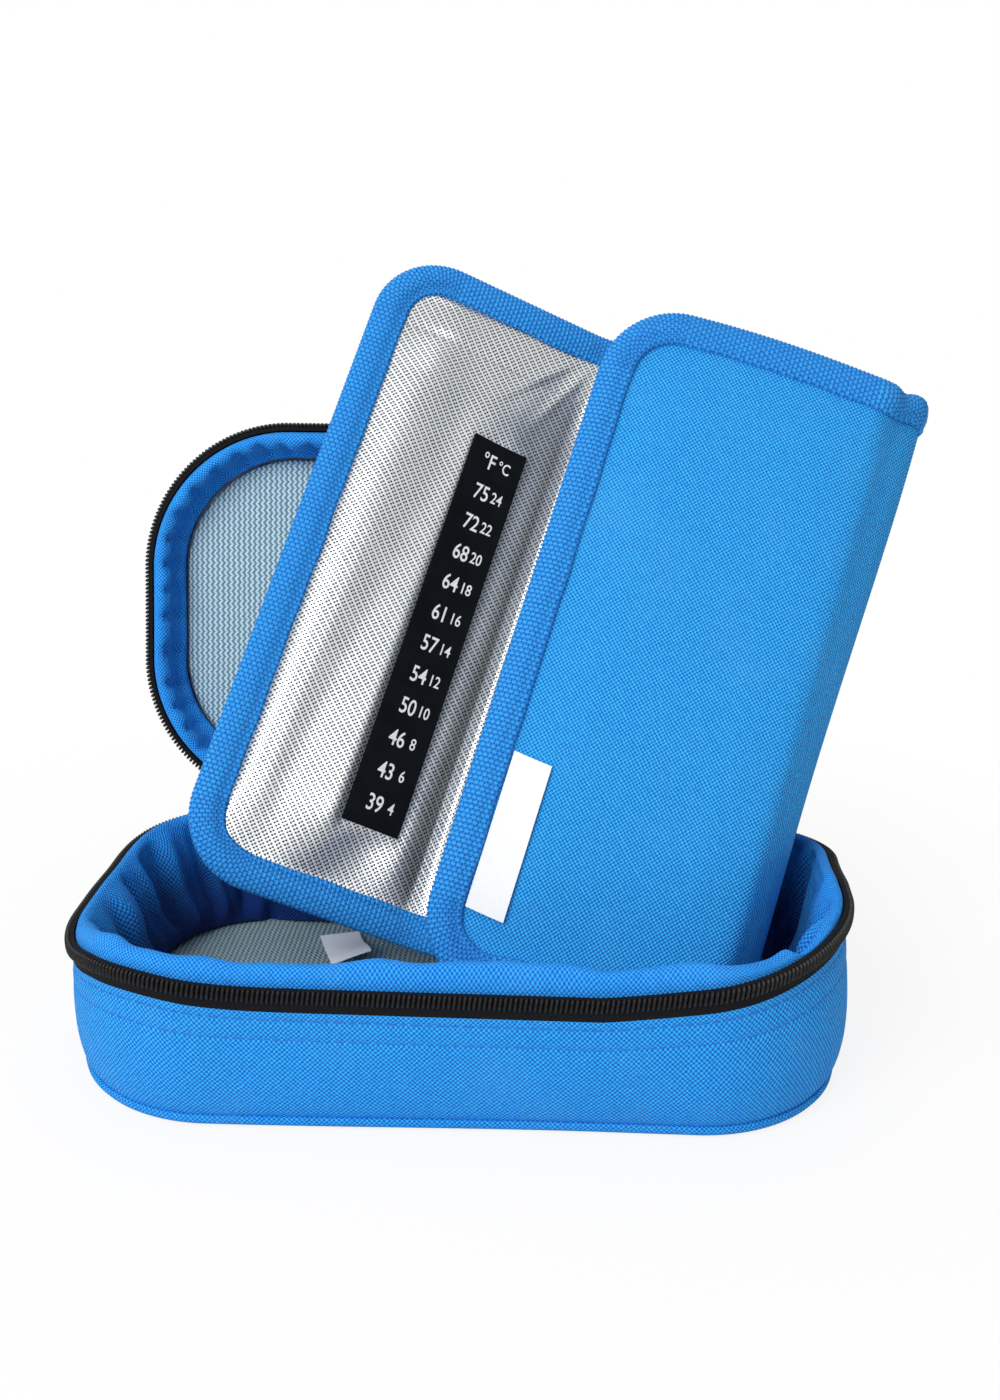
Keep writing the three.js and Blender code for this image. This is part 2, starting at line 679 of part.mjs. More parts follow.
/** The back panel between the flap fold and the spine fold. */
function backPanel() {
  const inner = -1;
  const back = new THREE.Group();
  const from = BINDING_TO_FLAP_FOLD;
  const to = BACK_WIDTH - BINDING_TO_SPINE_FOLD;
  const sizes = {
    width: BACK_WIDTH, inner, pad: LINER_PAD, foldAtEnd: true,
    foilFrom: from, foilTo: to,
    padFrom: PAD_TO_FLAP_FOLD, padTo: BACK_WIDTH - PAD_TO_SPINE_FOLD,
  };
  back.add(
    ...panelLayers('liner_back', sizes),
    piece('liner_back_foot_binding', bindingRun(from, to, false, inner), BLUE_TAPE),
    piece('liner_back_top_binding', bindingRun(from, to, true, inner), BLUE_TAPE),
    linerFold('flap_fold'),
  );
  return back;
}

/** The narrow spine between the back and the front cover. */
function spinePanel() {
  const inner = -1;
  const spine = new THREE.Group();
  const from = BINDING_TO_SPINE_FOLD;
  const to = SPINE_WIDTH - BINDING_TO_COVER_FOLD;
  const sizes = {
    width: SPINE_WIDTH, inner, pad: SPINE_PAD, foldAtEnd: true,
    foilFrom: from, foilTo: to,
    padFrom: SPINE_PAD_INSET + FOIL + 2 * CLEARANCE, padTo: SPINE_WIDTH - SPINE_PAD_INSET,
  };
  spine.add(
    ...panelLayers('spine', sizes),
    piece('spine_foot_binding', bindingRun(from, to, false, inner), BLUE_TAPE),
    piece('spine_top_binding', bindingRun(from, to, true, inner), BLUE_TAPE),
    linerFold('spine_fold'),
  );
  return spine;
}

/** The front cover, with a bare label sewn beside its free edge. */
function frontCover() {
  const inner = -1;
  const cover = new THREE.Group();
  const sizes = {
    width: COVER_WIDTH, inner, pad: LINER_PAD,
    foilFrom: BINDING_TO_COVER_FOLD, padFrom: PAD_TO_COVER_FOLD,
  };
  const labelTo = COVER_WIDTH - BINDING_REACH - LABEL_TO_BINDING;
  const under = LINER_CLOTH / 2 + CLEARANCE;
  const label = block(
    [labelTo - LABEL_WIDTH, under, LABEL_FOOT],
    [labelTo, under + LABEL_THICKNESS, LABEL_FOOT + LABEL_LENGTH],
  );
  cover.add(
    ...panelLayers('front_cover', sizes),
    piece('front_cover_binding', bindingRound(COVER_WIDTH, BINDING_TO_COVER_FOLD, inner), BLUE_TAPE),
    piece('front_cover_label', label, WHITE_SATIN),
  );
  return cover;
}

/** The whole liner, each panel turned from the one before it about their common fold. */
function foldedLiner() {
  const flap = innerFlap();
  flap.rotation.z = radians(FLAP_DIRECTION);
  const back = backPanel();
  back.rotation.z = radians(BACK_DIRECTION);
  const spine = spinePanel();
  spine.position.x = BACK_WIDTH;
  spine.rotation.z = radians(SPINE_TURN);
  const cover = frontCover();
  cover.position.x = SPINE_WIDTH;
  cover.rotation.z = radians(COVER_TURN);
  const coverFold = linerFold('cover_fold');
  coverFold.position.x = SPINE_WIDTH;
  spine.add(cover, coverFold);
  back.add(spine);
  const liner = new THREE.Group();
  liner.rotation.order = 'YXZ';
  liner.rotation.y = radians(LINER_TURN_RIGHT);
  liner.rotation.x = -radians(LINER_LEAN_BACK);
  liner.add(flap, back);
  seat(liner);
  return liner;
}

/** Stands the liner's lowest corner on the mesh floor and leans its inner fold on the lid's zip. */
function seat(liner) {
  liner.position.set(LINER_X, 0, 0);
  const foot = new THREE.Box3().setFromObject(liner, true).min.z;
  liner.position.z = FLOOR_TOP + CLEARANCE - foot;
  const along = new THREE.Vector3(0, 0, 1).applyEuler(liner.rotation);
  const reach = CASE_WIDTH + HINGE_STANDOFF + CLEARANCE + COIL_DEPTH;
  const rest = new THREE.Vector3(0, reach, COIL_RISE).applyAxisAngle(new THREE.Vector3(1, 0, 0), LID_RISE);
  const rise = TRAY_HEIGHT + rest.z - liner.position.z;
  const gap = (FOLD_RADIUS + LEAN_GAP) * Math.hypot(along.y, along.z);
  liner.position.y = HINGE_Y + rest.y - (rise * along.y + gap) / along.z;
}

/** The lid: a shallow tray laid open behind the hinge, then swung up about it. */
function raisedLid() {
  const pivot = new THREE.Group();
  const lid = trayHalf('lid', {
    height: LID_HEIGHT, pad: LID_PAD, rollRise: LID_ROLL_RISE, rollReach: LID_ROLL_REACH,
  });
  lid.position.set(0, HINGE_Y, -LID_HEIGHT);
  lid.rotation.z = Math.PI;
  pivot.position.set(0, HINGE_Y, TRAY_HEIGHT);
  pivot.rotation.x = LID_RISE;
  pivot.add(lid);
  return pivot;
}

/** The case's bare sewn-in care tag, lying on the mesh floor. */
function careTag() {
  const floorTop = FLOOR_TOP + CLEARANCE;
  const back = CASE_WIDTH / 2 - TAG_FROM_BACK;
  const tag = block(
    [TAG_X - TAG_WIDTH / 2, back - TAG_LENGTH, floorTop],
    [TAG_X + TAG_WIDTH / 2, back, floorTop + LABEL_THICKNESS],
  );
  return piece('care_tag', tag, WHITE_SATIN);
}

const insulinCase = new THREE.Group();
const hingeFold = piece('hinge_fold', foldBead(HINGE_LENGTH, HINGE_FOLD_RADIUS), BLUE_CLOTH);
hingeFold.rotation.z = Math.PI / 2;
hingeFold.position.set(0, HINGE_Y, TRAY_HEIGHT);
insulinCase.add(
  trayHalf('tray', {
    height: TRAY_HEIGHT, pad: FLOOR_PAD, rollRise: TRAY_ROLL_RISE, rollReach: TRAY_ROLL_REACH,
  }),
  hingeFold,
  slider('left', -1),
  slider('right', 1),
  careTag(),
  raisedLid(),
  foldedLiner(),
);
insulinCase.updateMatrixWorld(true);

export default insulinCase;
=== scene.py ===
"""Looks of an insulated travel case for insulin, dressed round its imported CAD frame.

A soft zipped tray and its lid hold a tri-fold foil-lined liner. Lengths are metres, in the frame of
the CAD model: X along the case, Y from its front to its hinge, Z up.
"""

import logging
import math
from collections.abc import Callable
from dataclasses import dataclass, field
from enum import Enum
from functools import cache

import bpy
import numpy as np
from mathutils import Matrix, Vector, noise

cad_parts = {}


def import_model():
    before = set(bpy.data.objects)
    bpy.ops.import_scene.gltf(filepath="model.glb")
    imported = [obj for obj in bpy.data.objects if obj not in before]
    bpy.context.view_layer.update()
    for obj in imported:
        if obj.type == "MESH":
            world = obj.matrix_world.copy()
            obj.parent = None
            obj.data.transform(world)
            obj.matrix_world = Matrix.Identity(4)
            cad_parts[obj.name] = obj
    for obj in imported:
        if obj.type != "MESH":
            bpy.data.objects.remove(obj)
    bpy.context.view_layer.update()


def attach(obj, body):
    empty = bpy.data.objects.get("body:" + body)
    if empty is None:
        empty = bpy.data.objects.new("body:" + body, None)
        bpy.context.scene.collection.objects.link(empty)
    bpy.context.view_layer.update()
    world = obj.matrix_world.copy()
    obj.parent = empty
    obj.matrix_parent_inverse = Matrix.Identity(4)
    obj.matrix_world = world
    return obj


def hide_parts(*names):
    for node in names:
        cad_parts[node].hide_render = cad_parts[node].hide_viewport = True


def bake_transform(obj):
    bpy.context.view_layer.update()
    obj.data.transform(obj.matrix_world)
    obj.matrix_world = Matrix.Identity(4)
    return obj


Array = np.ndarray
Colour = tuple[float, float, float]
Point = tuple[float, float, float]
Span = tuple[float, float]
Stretch = tuple[float, float, float]
Piece = bpy.types.Object
Material = bpy.types.Material
Operator = Callable[..., set[str]]

LOG = logging.getLogger("insulin_case")
MM = 0.001
TRAY_HEIGHT, LID_HEIGHT = 41 * MM, 20 * MM
HINGE_Y, LID_OPENING = 59.6 * MM, 104.0
CLOTH_MAP = "cloth"
SOFT_ANGLE, SHEET_ANGLE, METAL_ANGLE = 50.0, 80.0, 40.0
WHITE = (1.0, 1.0, 1.0)


class Body(Enum):
    """The bodies of the frame."""

    BASE = "base"
    LID = "lid"
    LINER = "liner"
    FLAP = "inner_flap"
    COVER = "front_cover"
    LEFT_PULL = "left_pull"
    RIGHT_PULL = "right_pull"


class Slot(Enum):
    """The record's material slots."""

    CLOTH = "blue_cloth"
    LINING = "blue_lining"
    TAPE = "blue_tape"
    FOAM = "white_foam"
    MESH = "grey_mesh"
    ZIP_TAPE = "zip_tape"
    ZIP_COIL = "zip_coil"
    METAL = "zip_metal"
    FOIL = "silver_foil"
    FILM = "black_film"
    LABEL = "white_label"


class Side(Enum):
    """The two ends of the zip, by the sign of X."""

    LEFT = -1
    RIGHT = 1


# Numbers along curves and surfaces


def ramp(x: Array, low: float, high: float) -> Array:
    """A smooth step over the places x, from 0 at low to 1 at high."""
    t = np.clip((x - low) / (high - low), 0, 1)
    return t * t * (3 - 2 * t)


def plateau(x: Array, low: float, high: float, shoulder: float) -> Array:
    """A stretch of 1 from low to high, with a slope of one shoulder's length inside each end."""
    return ramp(x, low, low + shoulder) * (1 - ramp(x, high - shoulder, high))


def crease(x: Array, place: Array | float, width: float) -> Array:
    """A narrow bump that is 1 at a place and dies away over a width."""
    return np.exp(-(((x - place) / width) ** 2))


def through(knots: list[Span], steps: int) -> Array:
    """A smooth line through points.

    Args:
        knots: The points that it passes through.
        steps: Points from one knot to the next.

    Returns:
        The line's points, one row each.
    """
    p = np.array(knots, float)
    p = np.vstack([2 * p[0] - p[1], p, 2 * p[-1] - p[-2]])
    line = []
    for a, b, c, d in zip(p[:-3], p[1:-2], p[2:-1], p[3:]):
        for t in np.arange(steps) / steps:
            line.append(b + 0.5 * t * (c - a + t * (2 * a - 5 * b + 4 * c - d + t * (3 * (b - c) + d - a))))
    line.append(p[-2])
    return np.array(line)


def rumple(points: Array, size: float, seed: float) -> Array:
    """Seamless random unevenness.

    Args:
        points: Places, in the last axis.
        size: The length of one swell.
        seed: Moves the pattern.

    Returns:
        A value from about -1 to 1 for each place.
    """
    flat = points.reshape(-1, 3) / size + seed
    values = [noise.noise(Vector(p)) for p in flat]
    return np.array(values).reshape(points.shape[:-1])


def unit(vectors: Array) -> Array:
    """The vectors at length one."""
    return vectors / np.linalg.norm(vectors, axis=-1, keepdims=True)


def lattice(first: Array, second: Array) -> tuple[Array, Array]:
    """Both coordinates of a grid, as rows of the first by columns of the second."""
    return tuple(np.meshgrid(first, second, indexing="ij"))


def gone_along(line: Array) -> Array:
    """The distance along a line to each of its points."""
    return np.concatenate([[0], np.cumsum(np.linalg.norm(np.diff(line, axis=0), axis=1))])


def follow(runs: list[tuple[float, ...]], radius: float, travel: Array) -> tuple[Array, Array]:
    """Points of an outline of straight and round stretches.

    Args:
        runs: For each stretch its length, its centre in X and Y, how that moves in X and Y, its first
            outward angle in degrees and its turning.
        radius: How far outside the centre the outline lies.
        travel: Distances along the outline.

    Returns:
        The points and their outward directions, as rows of X and Y.
    """
    table = np.array(runs)
    starts = np.concatenate([[0], np.cumsum(table[:, 0])])
    k = np.clip(np.searchsorted(starts, travel, side="right") - 1, 0, len(table) - 1)
    run, gone = table[k], travel - starts[k]
    angle = np.radians(run[:, 5]) + run[:, 6] * gone
    out = np.stack([np.cos(angle), np.sin(angle)], -1)
    centre = run[:, 1:3] + run[:, 3:5] * gone[:, None]
    return centre + radius * out, out


# Meshes


def only(*pieces: Piece) -> None:
    """Selects these pieces alone and makes the first one active.

    Args:
        pieces: The pieces.
    """
    bpy.ops.object.select_all(action="DESELECT")
    for piece in pieces:
        piece.select_set(True)
    bpy.context.view_layer.objects.active = pieces[0]


def added(operator: Operator, **settings: object) -> Piece:
    """Adds an object, with nothing else selected.

    Args:
        operator: The operator that adds it.
        settings: What the operator is given.

    Returns:
        The new object.
    """
    bpy.ops.object.select_all(action="DESELECT")
    operator(**settings)
    return bpy.context.object


def joined(pieces: list[Piece]) -> Piece:
    """Joins pieces into the first of them.

    Args:
        pieces: The pieces.

    Returns:
        The first piece, which now holds them all.
    """
    only(*pieces)
    bpy.ops.object.join()
    return pieces[0]


def on_whole_mesh(piece: Piece, operator: Operator, **settings: object) -> None:
    """Runs an operator of edit mode on a whole piece.

    Args:
        piece: The piece.
        operator: The operator.
        settings: What the operator is given.
    """
    only(piece)
    bpy.ops.object.mode_set(mode="EDIT")
    bpy.ops.mesh.select_all(action="SELECT")
    operator(**settings)
    bpy.ops.object.mode_set(mode="OBJECT")


def new_piece(name: str, vertices: Array, faces: list[list[int]], uv: Array) -> Piece:
    """A mesh piece with a cloth map.

    Args:
        name: The piece's name.
        vertices: Its points.
        faces: Its faces, as rows of point numbers.
        uv: The flat place of each point, in metres.

    Returns:
        The piece, at the origin.
    """
    mesh = bpy.data.meshes.new(name)
    mesh.from_pydata(vertices.tolist(), [], faces)
    corners = np.empty(len(mesh.loops), np.int32)
    mesh.loops.foreach_get("vertex_index", corners)
    layer = mesh.uv_layers.new(name=CLOTH_MAP)
    layer.data.foreach_set("uv", uv[corners].astype(np.float32).ravel())
    mesh.update()
    piece = bpy.data.objects.new(name, mesh)
    bpy.context.scene.collection.objects.link(piece)
    return piece


def cloth_grid(name: str, points: Array, u: Array, v: Array, flip: bool = False) -> Piece:
    """A sheet from rows and columns of points.

    Args:
        name: The piece's name.
        points: The points, as rows by columns by three.
        u: Their flat places in one direction, which fit the rows and columns.
        v: Their flat places in the other, likewise.
        flip: Whether the faces are turned over.

    Returns:
        The sheet, one layer thick.
    """
    rows, columns = points.shape[:2]
    i, j = lattice(np.arange(rows - 1), np.arange(columns - 1))
    a = (i * columns + j).ravel()
    faces = np.stack([a, a + columns, a + columns + 1, a + 1], -1)
    if flip:
        faces = faces[:, ::-1]
    uv = np.stack(np.broadcast_arrays(u, v), -1)
    return new_piece(name, points.reshape(-1, 3), faces.tolist(), uv.reshape(-1, 2))


def weld(piece: Piece) -> None:
    """Joins points that lie on each other, which closes seams and poles."""
    on_whole_mesh(piece, bpy.ops.mesh.remove_doubles, threshold=1e-6)


def outward(piece: Piece) -> None:
    """Turns the faces of a closed piece outwards."""
    on_whole_mesh(piece, bpy.ops.mesh.normals_make_consistent, inside=False)


def apply_modifier(piece: Piece, kind: str, **settings: object) -> None:
    """Adds a modifier and applies it.

    Args:
        piece: The piece.
        kind: The modifier's type.
        settings: The modifier's settings.
    """
    only(piece)
    modifier = piece.modifiers.new(kind.lower(), kind)
    for key, value in settings.items():
        setattr(modifier, key, value)
    bpy.ops.object.modifier_apply(modifier=modifier.name)


def thicken(piece: Piece, thickness: float) -> None:
    """Gives a sheet its thickness, on the side that its faces point away from."""
    apply_modifier(piece, "SOLIDIFY", thickness=thickness, offset=-1.0, use_even_offset=False)


def block(name: str, low: Point, high: Point, round_by: float, segments: int = 2) -> Piece:
    """A block with rounded edges, modelled from a cube.

    Args:
        name: The piece's name.
        low: Its lowest corner.
        high: Its highest corner.
        round_by: How far the edges are rounded.
        segments: Faces across each rounded edge.

    Returns:
        The block, with its place in its mesh.
    """
    piece = added(bpy.ops.mesh.primitive_cube_add, size=1.0)
    piece.name = piece.data.name = name
    size = Vector(high) - Vector(low)
    middle = (Vector(high) + Vector(low)) / 2
    piece.data.transform(Matrix.Translation(middle) @ Matrix.Diagonal((*size, 1.0)))
    on_whole_mesh(piece, bpy.ops.mesh.bevel, offset=round_by, segments=segments, affect="EDGES")
    return piece


def merge(piece: Piece, tool: Piece, operation: str) -> None:
    """Joins a tool to a piece or cuts it out, and removes the tool."""
    apply_modifier(piece, "BOOLEAN", object=tool, operation=operation, solver="EXACT")
    bpy.data.objects.remove(tool)


def stamp(name: str, pattern: Piece, frames: Array) -> Piece:
    """Copies one small shape to many places.

    Args:
        name: The new piece's name.
        pattern: The shape to copy, which is then removed.
        frames: One 4 by 4 matrix for each copy.

    Returns:
        One piece that holds all the copies.
    """
    mesh = pattern.data
    points = np.array([(*v.co, 1.0) for v in mesh.vertices])
    faces = sorted(list(p.vertices) for p in mesh.polygons)  # a sphere's come in another order each run
    placed = np.einsum("fij,nj->fni", frames, points)[..., :3]
    copies = [[v + len(points) * k for v in f] for k in range(len(frames)) for f in faces]
    flat = np.tile(points[:, :2], (len(frames), 1))
    bpy.data.objects.remove(pattern)
    return new_piece(name, placed.reshape(-1, 3), copies, flat)


def frames_along(points: Array, ahead: Array, up: Array) -> Array:
    """Matrices that stand on points, with X ahead and Z up from the surface.

    Args:
        points: Where each stands.
        ahead: The direction that X takes.
        up: The surface's outward direction.

    Returns:
        One 4 by 4 matrix for each point.
    """
    z = unit(up)
    y = unit(np.cross(z, ahead))
    x = np.cross(y, z)
    frames = np.tile(np.eye(4), (len(points), 1, 1))
    for column, axis in enumerate((x, y, z, points)):
        frames[:, :3, column] = axis
    return frames


def thread_stitch(length: float, width: float) -> Piece:
    """One stitch of thread lying along X, with its ends sunk into the cloth.

    Args:
        length: Its length.
        width: Its width; it is a little flatter than that.

    Returns:
        The stitch.
    """
    flatness = 0.8
    piece = added(bpy.ops.mesh.primitive_uv_sphere_add, segments=6, ring_count=5, radius=0.5)
    turn = Matrix.Rotation(math.pi / 2, 4, "Y")
    piece.data.transform(Matrix.Diagonal((length, width, width * flatness, 1.0)) @ turn)
    return piece


# Shaders


class Signal:
    """A value that changes over a surface, with its maths written as expressions."""

    def __init__(self, sketch: "NodeSketch", socket: bpy.types.NodeSocket) -> None:
        """Wraps one output socket of a sketch."""
        self.sketch = sketch
        self.socket = socket

    def math(self, operation: str, *others: "Signal | float", swap: bool = False) -> "Signal":
        """Adds a Math node.

        Args:
            operation: The node's operation.
            others: The other operands.
            swap: Whether the first other operand comes first.

        Returns:
            The node's result.
        """
        terms = [self, *others]
        if swap:
            terms[:2] = terms[1::-1]
        return self.sketch.node("ShaderNodeMath", {"operation": operation}, dict(enumerate(terms)))

    def __add__(self, other: "Signal | float") -> "Signal":
        """Sum."""
        return self.math("ADD", other)

    __radd__ = __add__

    def __sub__(self, other: "Signal | float") -> "Signal":
        """Difference."""
        return self.math("SUBTRACT", other)

    def __rsub__(self, other: float) -> "Signal":
        """Difference from a number."""
        return self.math("SUBTRACT", other, swap=True)

    def __mul__(self, other: "Signal | float") -> "Signal":
        """Product."""
        return self.math("MULTIPLY", other)

    __rmul__ = __mul__

    def __truediv__(self, other: "Signal | float") -> "Signal":
        """Quotient."""
        return self.math("DIVIDE", other)

    def __abs__(self) -> "Signal":
        """Size without sign."""
        return self.math("ABSOLUTE")

    def sin(self) -> "Signal":
        """Sine of an angle in radians."""
        return self.math("SINE")

    def fraction(self) -> "Signal":
        """The part after the whole number."""
        return self.math("FRACT")

    def above(self, low: float, high: float) -> "Signal":
        """A smooth step from 0 at low to 1 at high."""
        settings = {"interpolation_type": "SMOOTHSTEP"}
        return self.sketch.node("ShaderNodeMapRange", settings, {0: self, 1: low, 2: high})


class NodeSketch:
    """A node tree, drawn from a few words."""

    def __init__(self, tree: bpy.types.NodeTree) -> None:
        """Starts with the tree empty."""
        self.tree = tree
        self.tree.nodes.clear()

    def node(self, kind: str, settings: dict[str, object], inputs: dict, output: int | str = 0) -> Signal:
        """Adds any node.

        Args:
            kind: The node's type.
            settings: Its own settings, set first.
            inputs: Values or signals of its sockets, by number or name.
            output: The socket that is wanted.

        Returns:
            That socket as a signal.
        """
        made = self.tree.nodes.new(kind)
        for key, value in settings.items():
            setattr(made, key, value)
        for key, value in inputs.items():
            self.plug(made.inputs[key], value)
        return Signal(self, made.outputs[output])

    def plug(self, socket: bpy.types.NodeSocket, value: Signal | float | Colour) -> None:
        """Links a signal to a socket, or sets the socket's own value.

        Args:
            socket: An input socket.
            value: What feeds it.
        """
        if isinstance(value, Signal):
            self.tree.links.new(value.socket, socket)
        elif isinstance(value, tuple) and socket.type == "RGBA":
            socket.default_value = (*value, 1.0)
        else:
            socket.default_value = value

    def seen(self) -> Signal:
        """Tells what is looked at, directly, mirrored or through glass, from what lights the case.

        Returns:
            1 for what is looked at, 0 for light.
        """
        rays = ("Is Camera Ray", "Is Glossy Ray", "Is Transmission Ray")
        camera, glossy, clear = (self.node("ShaderNodeLightPath", {}, {}, ray) for ray in rays)
        return camera.math("MAXIMUM", glossy).math("MAXIMUM", clear)


class ShaderSketch(NodeSketch):
    """A material's node tree, drawn round a Principled shader."""

    def __init__(self, name: str) -> None:
        """Starts the material.

        Args:
            name: The material's name.
        """
        self.material = bpy.data.materials.new(name)
        self.material.use_nodes = True
        super().__init__(self.material.node_tree)
        self.shader = self.tree.nodes.new("ShaderNodeBsdfPrincipled")
        self.output = self.tree.nodes.new("ShaderNodeOutputMaterial")
        self.tree.links.new(self.shader.outputs[0], self.output.inputs["Surface"])

    def set(self, **values: Signal | float | Colour) -> None:
        """Feeds the shader's sockets, named with _ for each space."""
        for key, value in values.items():
            self.plug(self.shader.inputs[key.replace("_", " ")], value)

    def axes(self, place: Signal, *names: str) -> list[Signal]:
        """The parts of a place along some of its axes."""
        return [self.node("ShaderNodeSeparateXYZ", {}, {0: place}, name) for name in names]

    def cloth_map(self) -> list[Signal]:
        """The flat place on the cloth, in metres."""
        return self.axes(self.node("ShaderNodeUVMap", {"uv_map": CLOTH_MAP}, {}), "X", "Y")

    def place(self) -> Signal:
        """The place in the frame, in metres."""
        return self.node("ShaderNodeTexCoord", {}, {}, "Object")

    def speckle(self, size: float, detail: float = 2.0) -> Signal:
        """Random unevenness in space, from 0 to 1, with swells of a size in metres."""
        inputs = {"Vector": self.place(), "Scale": 1 / size, "Detail": detail}
        return self.node("ShaderNodeTexNoise", {}, inputs, "Fac")

    def blend(self, share: Signal, first: Signal | Colour, second: Signal | Colour) -> Signal:
        """A colour between two others, through the Mix node's sockets for colours."""
        return self.node("ShaderNodeMix", {"data_type": "RGBA"}, {0: share, 6: first, 7: second}, 2)

    def relief(self, height: Signal, depth: float) -> Signal:
        """Raises the surface by a height signal times a depth in metres."""
        return self.node("ShaderNodeBump", {}, {"Height": height, "Distance": depth, "Strength": 1.0})


@dataclass(frozen=True)
class Finish:
    """A finish; each kind draws itself in its own way."""

    name: str

    def draw(self, sketch: ShaderSketch) -> None:
        """Draws the finish in an empty material."""
        raise NotImplementedError

    @cache
    def material(self) -> Material:
        """Makes the finish once.

        Returns:
            The finish as a material.
        """
        sketch = ShaderSketch(self.name)
        self.draw(sketch)
        return sketch.material


@dataclass(frozen=True)
class WovenCloth(Finish):
    """Plain-woven cloth: staggered thread tops, with painted shade in the gaps between them, a little uneven.

    The lining gets painted shade, dark below one height and along the inside below another.
    """

    # top: the colour of the lit thread tops; gap: painted shade between the threads
    top: Colour
    gap: Colour
    pitch: float = 0.64 * MM
    depth: float = 0.35 * MM
    # shade: the colour of painted shade deep in the tray; None leaves it out
    shade: Colour | None = None
    worn: Colour = (0.16, 0.50, 0.95)
    wander_size: float = 3 * MM
    slub_size: float = 1.3 * MM
    fade_size: float = 22 * MM
    # where the painted shade falls: below these heights, and along the inside below another height
    deep_heights: Span = (14 * MM, 46 * MM)
    inside_from: Span = (9 * MM, 30 * MM)
    inside_heights: Span = (46 * MM, 52 * MM)
    inside_shade: float = 0.7

    def draw(self, sketch: ShaderSketch) -> None:
        """Draws the finish.

        Args:
            sketch: The material, still empty.
        """
        across, along = sketch.cloth_map()
        wander = (sketch.speckle(self.wander_size) - 0.5) * (0.9 * self.pitch)
        turn = math.pi / self.pitch
        crossing = ((across + wander) * turn).sin() * ((along - wander) * turn).sin()
        height = crossing * 0.5 + 0.5
        slub = sketch.speckle(self.slub_size, 1.0)
        fade = sketch.speckle(self.fade_size, 3.0)
        # Painted shade: the gaps between threads are darker than the lit thread tops
        share = (height * 0.9 + slub * 0.22).above(0.3, 0.85)
        colour = sketch.blend(share, self.gap, self.top)
        colour = sketch.blend(fade.above(0.45, 0.8) * 0.08, colour, self.worn)
        # Painted shade: the lining darkens deep in the tray and along its inside, where shade falls
        if self.shade:
            (high,) = sketch.axes(sketch.place(), "Z")
            inside = along.above(*self.inside_from) * (1 - high.above(*self.inside_heights)) * self.inside_shade
            painted_shade = (1 - high.above(*self.deep_heights)).math("MAXIMUM", inside)
            colour = sketch.blend(painted_shade, colour, sketch.blend(share, (0, 0, 0), self.shade))
        sketch.set(
            Base_Color=colour,
            Roughness=0.85 - height * 0.12,
            Normal=sketch.relief(height + slub * 0.4, self.depth),
        )
        sketch.set(Sheen_Weight=0.03, Sheen_Roughness=0.5, Sheen_Tint=(0.55, 0.75, 1.0), Specular_IOR_Level=0.2)


@dataclass(frozen=True)
class RibbedTape(Finish):
    """Binding tape: ribs across it, each broken into short floats, with painted shade in the grooves."""

    # top: the colour of the rib tops; gap: painted shade in the grooves
    top: Colour
    gap: Colour
    rib: float = 1.3 * MM
    float_length: float = 1.5 * MM
    fuzz_size: float = 0.9 * MM
    depth: float = 0.2 * MM

    def draw(self, sketch: ShaderSketch) -> None:
        """Draws the finish.

        Args:
            sketch: The material, still empty.
        """
        along, across = sketch.cloth_map()
        count = along / self.rib
        rib = ((count - 0.25) * (2 * math.pi)).sin() * 0.5 + 0.5
        odd = ((count * 0.5).fraction().above(0.49, 0.51)) * 0.5
        dash = abs(((across / self.float_length + odd) * math.pi).sin())
        fuzz = sketch.speckle(self.fuzz_size, 1.0)
        height = rib * 0.6 + dash.above(0.0, 0.7) * 0.4
        # Painted shade: the grooves between ribs and floats are darker than their tops
        share = (height * 0.85 + fuzz * 0.25).above(0.2, 0.85)
        sketch.set(
            Base_Color=sketch.blend(share, self.gap, self.top),
            Roughness=0.82 - height * 0.1,
            Normal=sketch.relief(height + fuzz * 0.3, self.depth),
        )
        sketch.set(Sheen_Weight=0.06, Sheen_Tint=(0.4, 0.7, 1.0), Specular_IOR_Level=0.2)


@dataclass(frozen=True)
class FoilCloth(Finish):
    """Aluminised woven film: fine shining crossings with dark pinholes between."""

    bright: Colour
    dark: Colour
    pitch: float = 0.7 * MM
    wander_size: float = 4 * MM
    cloud_size: float = 9 * MM
    depth: float = 0.04 * MM

    def draw(self, sketch: ShaderSketch) -> None:
        """Draws the finish.

        Args:
            sketch: The material, still empty.
        """
        across, along = sketch.cloth_map()
        turn = math.pi / self.pitch
        wander = (sketch.speckle(self.wander_size) - 0.5) * (0.6 * self.pitch)
        warp = (across + wander) * turn
        weft = (along - wander) * turn
        crossing = warp.sin() * weft.sin() * 0.5 + 0.5
        twill = ((warp + weft) * 0.5).sin() * 0.5 + 0.5
        height = crossing * 0.75 + twill * 0.25
        cloud = sketch.speckle(self.cloud_size, 3.0)
        share = (height + (cloud - 0.5) * 0.1).above(0.26, 0.54)
        sketch.set(
            Base_Color=sketch.blend(share, self.dark, self.bright),
            Roughness=0.33 - share * 0.06 + cloud * 0.08,
            Normal=sketch.relief(height, self.depth),
            Metallic=0.7,
        )


